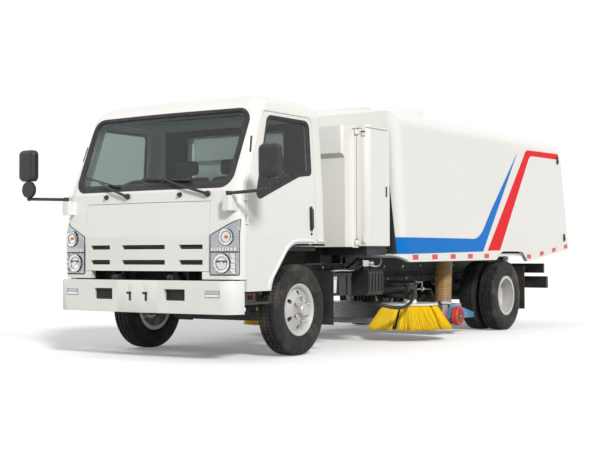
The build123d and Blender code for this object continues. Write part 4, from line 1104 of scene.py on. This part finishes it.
def tailgate_fittings():
    """Grab handles and over-centre latches on the tailgate."""
    latches, handles = bmesh.new(), bmesh.new()
    outward = Vector((0, 0.976, 0.217))
    grip_z = 1.3

    def on_gate(x, z, out=0.0):
        return cast(at(x, 9, z), (0, -1, 0), ["tailgate"]) + outward * out

    for x in (-0.62, 0.62):
        grip = [(-0.11, -0.002), (-0.1, 0.03), (0.0, 0.04), (0.1, 0.03), (0.11, -0.002)]
        add_tube(handles, smooth_path([on_gate(x + dx, grip_z, out) for dx, out in grip], 6), 0.01, 10)
    latch = [(-0.03, 0.03, -0.01, 0.018, -0.06, 0.06), (-0.012, 0.012, 0.018, 0.034, -0.05, 0.02)]
    for x in (-0.98, 0.98):
        for z in (1.22, 1.62):
            add_blocks(latches, latch, on_gate(x, z))
    piece("tailgate_latches", latches, PLASTIC, "tailgate", bevel=0.003)
    piece("tailgate_handles", handles, STEEL, "tailgate")


# Power compartment

# A latch on the door's front edge: base, lever and hook
POD_LATCH = [(-0.018, 0.018, -0.006, 0.002, -0.04, 0.04), (-0.011, 0.011, -0.016, -0.006, -0.034, 0.008),
             (-0.005, 0.005, -0.012, -0.006, 0.008, 0.034)]
POD_LATCH_X = 1.025


def pod_fittings():
    for word, side in SIDES:
        latches, catches = bmesh.new(), bmesh.new()
        for z in (2.06, 1.04):
            add_blocks(latches, POD_LATCH, at(side * POD_LATCH_X, 0.955, z))
        piece("pod_latches_" + word, latches, WHITE, "pod_door_" + word, bevel=0.0015)
        add_blocks(catches, [(-0.026, 0.026, 0.934, 0.94, 2.055, 2.066)], at(side * POD_LATCH_X, 0, 0))
        outline = rect(1.29, 1.31, 1.45, 1.55)
        add_rings(catches, [[at(side * x, *p) for p in outline] for x in (1.0665, 1.0765)])
        piece("pod_catches_" + word, catches, PLASTIC, "pod_door_" + word, bevel=0.0015)
    # Painted shade: a thin dark sheet on the compartment's rear wall darkens the gap in front of the hopper
    bm = bmesh.new()
    add_blocks(bm, [(-1.03, 1.03, 1.369, 1.374, 0.99, 2.1)])
    piece("pod_rear_painted_shade", bm, RUBBER, "chassis")


# Sweep gear

BROOM_GAP = math.radians(280)
BROOM_PANELS = 5
PANEL_GAP = 0.14
TUFTS = 58
TUFT_ROWS = 9
ROOT_R = 0.207
ROOT_BAND = 0.075
TIP_BAND = 0.125
STRAND_RADII = [0.0036, 0.0034, 0.0026]
HOSE_RINGS = 24
# Share of the pitch, and radius
HOSE_RIB = [(0, 0.087), (0.2, 0.0885), (0.45, 0.0945), (0.65, 0.0945), (0.9, 0.0885)]
# Points of the feed hose's route: x and y from the broom's axis, z from the ground
HOSE_ROUTE = [(0.052, -0.079, 0.505), (0.105, -0.159, 0.522), (0.172, -0.241, 0.51), (0.224, -0.329, 0.458),
              (0.242, -0.433, 0.398), (0.234, -0.545, 0.362), (0.2, -0.651, 0.358), (0.136, -0.733, 0.378),
              (0.048, -0.777, 0.4), (-0.05, -0.769, 0.41), (-0.138, -0.715, 0.414), (-0.206, -0.633, 0.424),
              (-0.246, -0.555, 0.456), (-0.288, -0.498, 0.5)]
HOSE_D = 0.034


def add_strand(bm, centre, angle, lean, radii, heights):
    """One bristle from its root to its tip; lean turns the tip round the broom."""
    (r0, r1), (z0, z1) = radii, heights
    points = []
    for t in (0.0, 0.5, 1.0):
        r = r0 + (r1 - r0) * (t * 0.94 + 0.06 * t * t)
        a = angle + lean * t
        points.append(Vector((centre.x + math.cos(a) * r, centre.y + math.sin(a) * r, z0 + (z1 - z0) * t)))
    add_tube(bm, points, STRAND_RADII, 3)


def bristles():
    for word, _ in SIDES:
        low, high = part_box("bristles_" + word)
        centre = centre_of("bristles_" + word)
        top, tip = high.z, low.z
        tip_r = (high.x - low.x) / 2 - 0.006
        # Painted shade: a dark cone behind the outer strands stands in for the shaded bristles inside the
        # broom
        core = bmesh.new()
        foot = tip - top + 0.02
        outline = [(foot, tip_r - 0.06), (0.0, 0.24), (0.0, 0.21), (foot, tip_r - 0.1)]
        add_lathe(core, outline, Vector((centre.x, centre.y, top)), UP, 72, loop=True)
        piece("bristle_painted_shade_core_" + word, core, PLASTIC, "broom_" + word)
        bm = bmesh.new()
        span = 2 * math.pi / BROOM_PANELS - PANEL_GAP
        for turn in full_turn(BROOM_PANELS):
            for n in range(TUFTS):
                for row in range(TUFT_ROWS):
                    share = (row + rng.random()) / TUFT_ROWS
                    angle = BROOM_GAP + turn + span * (n + rng.random()) / TUFTS
                    lean = rng.uniform(-0.02, 0.02)
                    r1 = tip_r - TIP_BAND * (1 - share) + rng.uniform(-0.012, 0.004)
                    z1 = tip + rng.uniform(0.0, 0.022)
                    add_strand(bm, centre, angle, lean, (ROOT_R + ROOT_BAND * share, r1), (top, z1))
        piece("bristle_ring_" + word, bm, BRISTLE, "broom_" + word, stands_for="bristles_" + word)


def suction_hoses():
    low, high = at(0.815, 2.995, 0.34), at(0.81, 3.045, 0.858)
    axis = (high - low).normalized()
    length = (high - low).length
    pitch = length / HOSE_RINGS
    profile = []
    for k in range(HOSE_RINGS):
        profile += [((k + share) * pitch, radius) for share, radius in HOSE_RIB]
    bore = [(length, 0.087), (length, 0.083), (0.0, 0.083)]
    hoses, clamps = bmesh.new(), bmesh.new()
    add_lathe(hoses, profile + bore, low, axis, 40, loop=True)
    for share in (0.03, 0.95):
        band = [(-0.012, 0.0955), (-0.012, 0.0985), (0.012, 0.0985), (0.012, 0.0955)]
        add_lathe(clamps, band, low + axis * length * share, axis, 40, loop=True)
    mirror_x(hoses)
    mirror_x(clamps)
    piece("corrugated_hoses", hoses, HOSE, "chassis", sharp=80, stands_for="suction_hoses")
    piece("hose_clamps", clamps, STEEL, "chassis")


def caster_hubs():
    # Distance past the caster's side, and radius
    steps = [(-0.004, 0.074), (0.002, 0.07), (0.002, 0.06), (-0.001, 0.05), (0.003, 0.03), (0.003, 0.0165),
             (-0.01, 0.0165), (-0.01, 0.074)]
    for word, side in SIDES:
        low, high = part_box("caster_" + word)
        half = (high.x - low.x) / 2
        bm = bmesh.new()
        profile = [(half + out, radius) for out, radius in steps]
        add_lathe(bm, profile, centre_of("caster_" + word), (side, 0, 0), 36, loop=True)
        piece("caster_hub_" + word, bm, PLASTIC, "caster_" + word)


def feed_hoses():
    """The broom motor's feed hose, a loop in front of each broom."""
    for word, side in SIDES:
        axis = centre_of("broom_disc_" + word)
        points = [Vector((axis.x + side * x, axis.y + y, z)) for x, y, z in HOSE_ROUTE]
        data = bpy.data.curves.new("feed_hose_line_" + word, "CURVE")
        data.dimensions = "3D"
        data.resolution_u = 10
        line = data.splines.new("NURBS")
        line.points.add(len(points) - 1)
        for point, place in zip(line.points, points):
            point.co = (*place, 1)
        line.order_u = 3
        line.use_endpoint_u = True
        obj = new_object("feed_hose_loop_" + word, data)
        bare = obj.to_mesh()
        obj.to_mesh_clear()
        data.bevel_depth = HOSE_D / 2
        data.bevel_resolution = 4
        data.use_fill_caps = True
        data.materials.append(HOSE_RUBBER)
        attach(obj, "broom_arm_" + word)
        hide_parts("feed_hose_" + word)


# Cab inside

CUSHION_PARTS = 18
SEAM = 0.012
# Middle x, width, seams across the cushion, middles of the head rests
SEAT_ROWS = [(-0.465, 0.55, [-0.16, 0.16], [0.0]), (0.305, 0.87, [-0.3, 0.0, 0.3], [-0.22, 0.22])]
SEAT_R = 0.045
PIPING = 0.005


def cushion_point(p, half, radius, crown, seams):
    """Where a point of a cube from -1 to 1 goes on a stuffed block."""
    full = Vector([c * h for c, h in zip(p, half)])
    core = Vector([max(-h + radius, min(h - radius, c)) for c, h in zip(full, half)])
    away = full - core
    soft = core + away.normalized() * radius if away.length else full
    swell = (1 - p[0] ** 2) * (1 - p[1] ** 2) * crown
    pinch = sum(math.exp(-((soft.x - seam) / SEAM) ** 2) for seam in seams) * SEAM
    soft.z += (swell - pinch) * max(0.0, p[2])
    return soft


def add_cushion(bm, place, size, radius, crown, seams=()):
    """A stuffed block: round edges, a crowned face towards +w and pinched seams across u."""
    half = Vector(size) / 2
    lines = spaced(-1, 1, CUSHION_PARTS)
    made = []
    for axis in range(3):
        for sign in (-1, 1):
            grid = []
            for i in lines:
                row = []
                for j in lines:
                    p = [0.0, 0.0, 0.0]
                    p[axis], p[(axis + 1) % 3], p[(axis + 2) % 3] = sign, i, j
                    row.append(bm.verts.new(place(*cushion_point(p, half, radius, crown, seams))))
                grid.append(row)
            made += [v for row in grid for v in row]
            for a, b in zip(grid, grid[1:]):
                for k in range(CUSHION_PARTS):
                    bm.faces.new((a[k], b[k], b[k + 1], a[k + 1]))
    bmesh.ops.remove_doubles(bm, verts=made, dist=0.0003)


def seats():
    pads, hard = bmesh.new(), bmesh.new()
    for middle, width, seams, heads in SEAT_ROWS:
        def base(u, v, w):
            return at(middle + u, -0.2 + v, 1.118 + w)

        def back(u, v, w):
            return at(middle + u, 0.11 + v * 0.05 - w, 1.395 + v)

        add_cushion(pads, base, (width, 0.46, 0.1), SEAT_R, 0.012, seams)
        add_cushion(pads, back, (width, 0.47, 0.105), SEAT_R, 0.01, seams)
        for head in heads:
            x = middle + head
            add_cushion(pads, lambda u, v, w: at(x + u, 0.133 - w, 1.72 + v), (0.26, 0.14, 0.08), 0.035,
                        0.006)
            for post in (x - 0.06, x + 0.06):
                add_pipe(hard, [(post, 0.13, 1.6), (post, 0.133, 1.67)], 0.006, 8)
        half = width / 2
        add_blocks(hard, [(middle - half + 0.05, middle + half - 0.05, -0.37, 0.03, 0.966, 1.072)])
        # Piping round the faces of both cushions
        for face, reach, lift in [(base, 0.218, 0.032), (back, 0.223, 0.032)]:
            rim = rounded(rect(-half + 0.012, half - 0.012, -reach, reach), SEAT_R)
            add_tube(hard, [face(p.x, p.y, lift) for p in rim], PIPING, 8, loop=True)
    made = piece("seat_cushions", pads, CLOTH, "cab", sharp=70, stands_for="seats")
    piece("seat_frames_and_piping", hard, VINYL, "cab", bevel=0.004)


def dash_details():
    bm = bmesh.new()
    # Hood over the dials on the driver's side
    hood = rounded([(-0.64, 1.375), (-0.64, 1.435), (-0.26, 1.435), (-0.26, 1.375)], [0, 0.05, 0.05, 0])
    add_layers(bm, hood, lambda x, z, y: at(x, y, z), [(-0.02, -0.83), (0.0, -0.78), (0.0, -0.7)])
    # Air vents, then the lever with its boot and knob
    for x in (-0.76, -0.1, 0.1, 0.74):
        vent = rounded(rect(x - 0.055, x + 0.055, 1.315, 1.375), 0.012)
        slope = [at(p.x, -0.645 - (p.y - 1.3) * 0.55, p.y) for p in vent]
        add_rings(bm, [slope, [p + Vector((0, 0.012, 0.006)) for p in slope]])
    add_pipe(bm, [(-0.1, -0.68, 1.12), (-0.1, -0.56, 1.2), (-0.1, -0.54, 1.3)], [0.03, 0.012, 0.011], 12)
    knob = [(-0.025, 0.012), (-0.01, 0.024), (0.012, 0.024), (0.025, 0.012)]
    add_lathe(bm, knob, at(-0.1, -0.538, 1.32), (0, 0.1, 1), 16)
    piece("dash_hood_and_vents", bm, PLASTIC, "cab")
    # Linings of the rear wall, round its window, and of the roof
    bm = bmesh.new()
    for x0, x1, z0, z1 in [(-0.85, -0.575, 0.97, 2.1), (0.575, 0.85, 0.97, 2.1), (-0.575, 0.575, 0.97, 1.545),
                           (-0.575, 0.575, 2.035, 2.1)]:
        add_blocks(bm, [(x0, x1, 0.262, 0.273, z0, z1)])
    add_blocks(bm, [(-0.8, 0.8, -0.53, 0.22, 2.2, 2.2145)])
    piece("cab_linings", bm, TRIM, "cab", bevel=0.004)
    bm = bmesh.new()
    for x, radius in [(-0.54, 0.042), (-0.45, 0.03), (-0.36, 0.042)]:
        dial = [(-0.004, radius), (0.004, radius), (0.005, radius - 0.005), (0.002, radius - 0.006),
                (0.002, 0.001)]
        add_lathe(bm, dial, at(x, -0.699, 1.4), BACK, 24)
    piece("dials", bm, DIAL, "cab")


# Chassis

BOLT = 0.011
RAIL_FACE = 0.425
LINE_X = 0.437
# Height and radius of each line on the rail
RAIL_LINES = [(0.655, 0.006), (0.67, 0.006), (0.69, 0.009)]
CLIPS = 12
CLIP_PITCH = 0.41
FILTER = (0.85, 0.665)


def add_bolt(bm, place, axis):
    head = [(-0.002, BOLT * 1.5), (0.002, BOLT * 1.5), (0.002, BOLT), (0.009, BOLT), (0.01, 0.001)]
    add_lathe(bm, head, place, axis, 6)


def add_filter(dark, bright, white):
    """Filter canister on a bracket behind the front wheel, with its line."""
    can = [(0.0, 0.012), (0.008, 0.036), (0.12, 0.042), (0.128, 0.036)]
    cap = [(0.0, 0.038), (0.004, 0.046), (0.03, 0.046), (0.036, 0.03)]
    add_lathe(white, can, at(*FILTER, 0.528), UP, 28)
    add_lathe(bright, cap, at(*FILTER, 0.656), UP, 28)
    add_lathe(bright, [(-0.024, 0.007), (0.0, 0.009)], at(*FILTER, 0.53), UP, 12)
    add_blocks(dark, [(0.42, 0.875, 0.635, 0.695, 0.69, 0.702), (0.42, 0.44, 0.64, 0.69, 0.63, 0.7)])
    add_pipe(dark, [(0.85, 0.7, 0.672), (0.84, 0.76, 0.665), (0.8, 0.8, 0.58), (0.74, 0.82, 0.52),
                    (0.68, 0.83, 0.525)], 0.009, parts=8)


def add_battery(dark, bright):
    """Battery box with a strapped lid, and a steel line over it."""
    add_blocks(dark, [(0.44, 0.79, 0.8, 1.1, 0.5, 0.69), (0.435, 0.798, 0.795, 1.105, 0.69, 0.715)])
    for y in (0.87, 1.03):
        add_blocks(dark, [(0.79, 0.802, y - 0.015, y + 0.015, 0.5, 0.722),
                          (0.44, 0.802, y - 0.015, y + 0.015, 0.715, 0.722)])
    add_pipe(bright, [(0.8, 0.72, 0.735), (0.84, 0.85, 0.742), (0.84, 1.0, 0.738), (0.8, 1.14, 0.745),
                      (0.62, 1.2, 0.75), (0.43, 1.21, 0.75)], 0.007, parts=8)
    add_pipe(bright, [(0.8, 0.72, 0.735), (0.8, 0.7, 0.7)], 0.007)


def add_return_filters(dark, bright):
    """Return filters on the hydraulic tank, with the pipe that hooks over to the pump."""
    foot = [(-0.004, 0.05), (0.014, 0.05), (0.014, 0.03), (0.04, 0.03)]
    for y, radius, top in [(1.36, 0.05, 0.85), (1.47, 0.042, 0.835)]:
        add_lathe(dark, foot, at(0.78, y, 0.74), UP, 24)
        rim = radius + 0.003
        can = [(0.0, radius), (0.006, rim), (top - 0.79, rim), (top - 0.776, radius * 0.7),
               (top - 0.772, 0.002)]
        add_lathe(bright, can, at(0.78, y, 0.775), UP, 28)
    add_pipe(bright, [(0.83, 1.38, 0.79), (0.86, 1.45, 0.775), (0.86, 1.53, 0.79), (0.84, 1.59, 0.84),
                      (0.78, 1.62, 0.88), (0.7, 1.62, 0.9)], 0.009, parts=8)
    add_pipe(dark, [(0.7, 1.62, 0.9), (0.6, 1.62, 0.88), (0.5, 1.6, 0.8), (0.42, 1.58, 0.74)], 0.012, parts=8)


def add_valves(dark, brass):
    """Two valves below the gap between the compartment and the hopper."""
    add_blocks(dark, [(0.9, 1.02, 1.355, 1.375, 0.915, 0.985)])
    body = [(0.0, 0.016), (0.03, 0.016), (0.032, 0.01), (0.055, 0.009)]
    for x in (0.93, 0.99):
        add_lathe(brass, body, at(x, 1.375, 0.935), BACK, 14)
        add_lathe(brass, [(0.0, 0.011), (0.024, 0.011)], at(x, 1.39, 0.938), UP, 12)


def add_rail_lines(dark, bright):
    """Brake and cable lines clipped along the rails, with bolt heads."""
    for side in BOTH:
        for z, radius in RAIL_LINES:
            add_pipe(dark, [(side * LINE_X, y, z) for y in (0.55, 1.5, 2.6, 3.6, 5.3)], radius, 8)
        for k in range(CLIPS):
            y = 0.62 + CLIP_PITCH * k
            add_blocks(dark, [(0.424, 0.449, y, y + 0.018, 0.645, 0.702)], sides=(side,))
            for dy, z in [(0.12, 0.76), (0.2, 0.63)]:
                add_bolt(bright, at(side * RAIL_FACE, y + dy, z), (side, 0, 0))


def add_lift_linkage(dark, bright):
    """Nozzle lift linkage beside the left hose."""
    x = 0.74
    add_pipe(bright, [(x, 2.46, 0.598), (x, 2.65, 0.594), (x, 2.65, 0.49)], 0.007)
    add_pipe(bright, [(x, 2.53, 0.519), (x, 2.84, 0.512)], 0.009)
    add_lathe(bright, [(-0.02, 0.016), (0.02, 0.016)], at(x, 2.65, 0.519), (1, 0, 0), 16)
    add_blocks(dark, [(0.42, 0.76, 2.44, 2.475, 0.585, 0.61)])
    add_pipe(dark, [(x, 2.84, 0.512), (x, 2.9, 0.44), (x, 2.94, 0.335)], 0.012)


def chassis_fittings():
    dark, bright, white, brass = [bmesh.new() for _ in range(4)]
    add_filter(dark, bright, white)
    add_battery(dark, bright)
    add_return_filters(dark, bright)
    add_valves(dark, brass)
    # Black sleeves on the compartment's feet, and skirts below its floor
    sleeves = [(0.357, 0.524, y0, y1, 0.803, 0.9665) for y0, y1 in [(0.952, 1.008), (1.331, 1.373)]]
    skirts = [(1.0, 1.02, 1.006, 1.368, 0.885, 0.972), (0.44, 1.02, 1.004, 1.016, 0.885, 0.972)]
    add_blocks(dark, sleeves + skirts, sides=BOTH)
    add_rail_lines(dark, bright)
    add_lift_linkage(dark, bright)
    piece("chassis_dark_fittings", dark, CHASSIS, "chassis", bevel=0.0025)
    piece("chassis_steel_fittings", bright, STEEL, "chassis")
    piece("filter_canister", white, WHITE, "chassis")
    piece("valves", brass, BRASS, "chassis")


def rear_beam_fittings():
    """Round reflectors and a blank plate on the beam."""
    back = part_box("rear_bumper")[1].y
    bm = bmesh.new()
    disc = [(-0.004, 0.032), (0.003, 0.032), (0.0045, 0.026), (0.0045, 0.001)]
    for x in (-0.8, 0.8):
        add_lathe(bm, disc, Vector((x, back, 0.53)), BACK, 28)
    piece("rear_reflectors", bm, TAPE_RED, "chassis")
    bm = bmesh.new()
    plate = rounded(rect(-0.2, 0.2, 0.48, 0.58), 0.012)
    add_layers(bm, plate, lambda x, z, out: Vector((x, back + out, z)), [(0, -0.002), (0, 0.002)])
    piece("blank_plate", bm, WHITE, "chassis")


# Stage

FLOOR_R = 60
FLOOR_COLOUR = (0.34, 0.34, 0.33, 1)
FLOOR_GLOW = 0.16
AMBIENT = 0.46
AMBIENT_COLOUR = (0.93, 0.96, 1.0, 1)
LIGHT_COLOUR = (1.0, 0.975, 0.94)
# Name, direction that the light travels, strength, softness in degrees
SUNS = [("key", (-0.68, 0.5, -0.53), 2.55, 10), ("fill", (0.75, 0.3, -0.5), 0.4, 60)]
CAMERA_PLACE = Vector((6.705, -11.023, 0.894))
CAMERA_YAW = 33.92
CAMERA_PITCH = 1.446
CAMERA_ROLL = -0.166
CAMERA_LENS = 70.07


def show_to_camera(tree, hidden, seen, output):
    """Uses one shader for rays from the camera, or by way of metal and glass, and another for the rest."""
    path = tree.nodes.new("ShaderNodeLightPath")
    best = path.outputs["Is Camera Ray"]
    for name in ("Is Glossy Ray", "Is Transmission Ray"):
        best = calculate(tree, "MAXIMUM", best, path.outputs[name])
    mix = tree.nodes.new("ShaderNodeMixShader")
    for source, socket in zip((best, hidden.outputs[0], seen.outputs[0]), mix.inputs):
        tree.links.new(source, socket)
    tree.links.new(mix.outputs[0], tree.nodes[output].inputs["Surface"])


def stage():
    bm = bmesh.new()
    bmesh.ops.create_circle(bm, cap_ends=True, radius=FLOOR_R, segments=96)
    mesh = bpy.data.meshes.new("floor")
    bm.to_mesh(mesh)
    bm.free()
    floor = new_object("floor", mesh)
    material = bpy.data.materials.new("pale_floor")
    material.use_nodes = True
    tree = material.node_tree
    shader = tree.nodes["Principled BSDF"]
    shader.inputs["Base Color"].default_value = FLOOR_COLOUR
    shader.inputs["Roughness"].default_value = 0.9
    white = add_node(tree, "ShaderNodeBsdfDiffuse", Color=(1, 1, 1, 1))
    glow = add_node(tree, "ShaderNodeEmission", Strength=FLOOR_GLOW)
    lifted = tree.nodes.new("ShaderNodeAddShader")
    tree.links.new(white.outputs[0], lifted.inputs[0])
    tree.links.new(glow.outputs[0], lifted.inputs[1])
    show_to_camera(tree, shader, lifted, "Material Output")
    mesh.materials.append(material)


def lights():
    scene = bpy.context.scene
    world = bpy.data.worlds.new("studio")
    world.use_nodes = True
    scene.world = world
    tree = world.node_tree
    ambient = tree.nodes["Background"]
    ambient.inputs["Color"].default_value = AMBIENT_COLOUR
    ambient.inputs["Strength"].default_value = AMBIENT
    white = add_node(tree, "ShaderNodeBackground", Color=(1, 1, 1, 1), Strength=1.0)
    show_to_camera(tree, ambient, white, "World Output")
    for name, direction, strength, soft in SUNS:
        lamp = bpy.data.lights.new(name, "SUN")
        lamp.energy = strength
        lamp.angle = math.radians(soft)
        lamp.color = LIGHT_COLOUR
        obj = new_object(name, lamp)
        obj.rotation_mode = "QUATERNION"
        obj.rotation_quaternion = Vector(direction).to_track_quat("-Z", "Y")
    scene.view_settings.view_transform = "Standard"


def camera():
    data = bpy.data.cameras.new("camera")
    data.lens = CAMERA_LENS
    data.sensor_width = 36
    data.clip_end = 300
    obj = new_object("camera", data)
    yaw, pitch = math.radians(CAMERA_YAW), math.radians(CAMERA_PITCH)
    ahead = Vector((-math.sin(yaw) * math.cos(pitch), math.cos(yaw) * math.cos(pitch), math.sin(pitch)))
    turn = ahead.to_track_quat("-Z", "Y").to_matrix() @ Matrix.Rotation(math.radians(CAMERA_ROLL), 3, "Z")
    obj.matrix_world = Matrix.Translation(CAMERA_PLACE) @ turn.to_4x4()
    bpy.context.scene.camera = obj


dress_nodes()
screen_seal()
wipers()
window_seals()
door_handles()
mirror_glass()
grille_inserts()
radiator()
bumper_trim()
tyres()
wheel_nuts()
stripes()
hopper_latches()
hopper_front_painted_shade()
hopper_header()
bristles()
suction_hoses()
caster_hubs()
seats()
dash_details()
# The headlamp units come after the pieces that are placed on the lamps they replace
lamp_corners()
pillar_vents()
lamp_units()
feed_hoses()
side_lamps()
arch_lips()
chassis_fittings()
pod_fittings()
tailgate_fittings()
rear_beam_fittings()
stage()
lights()
camera()
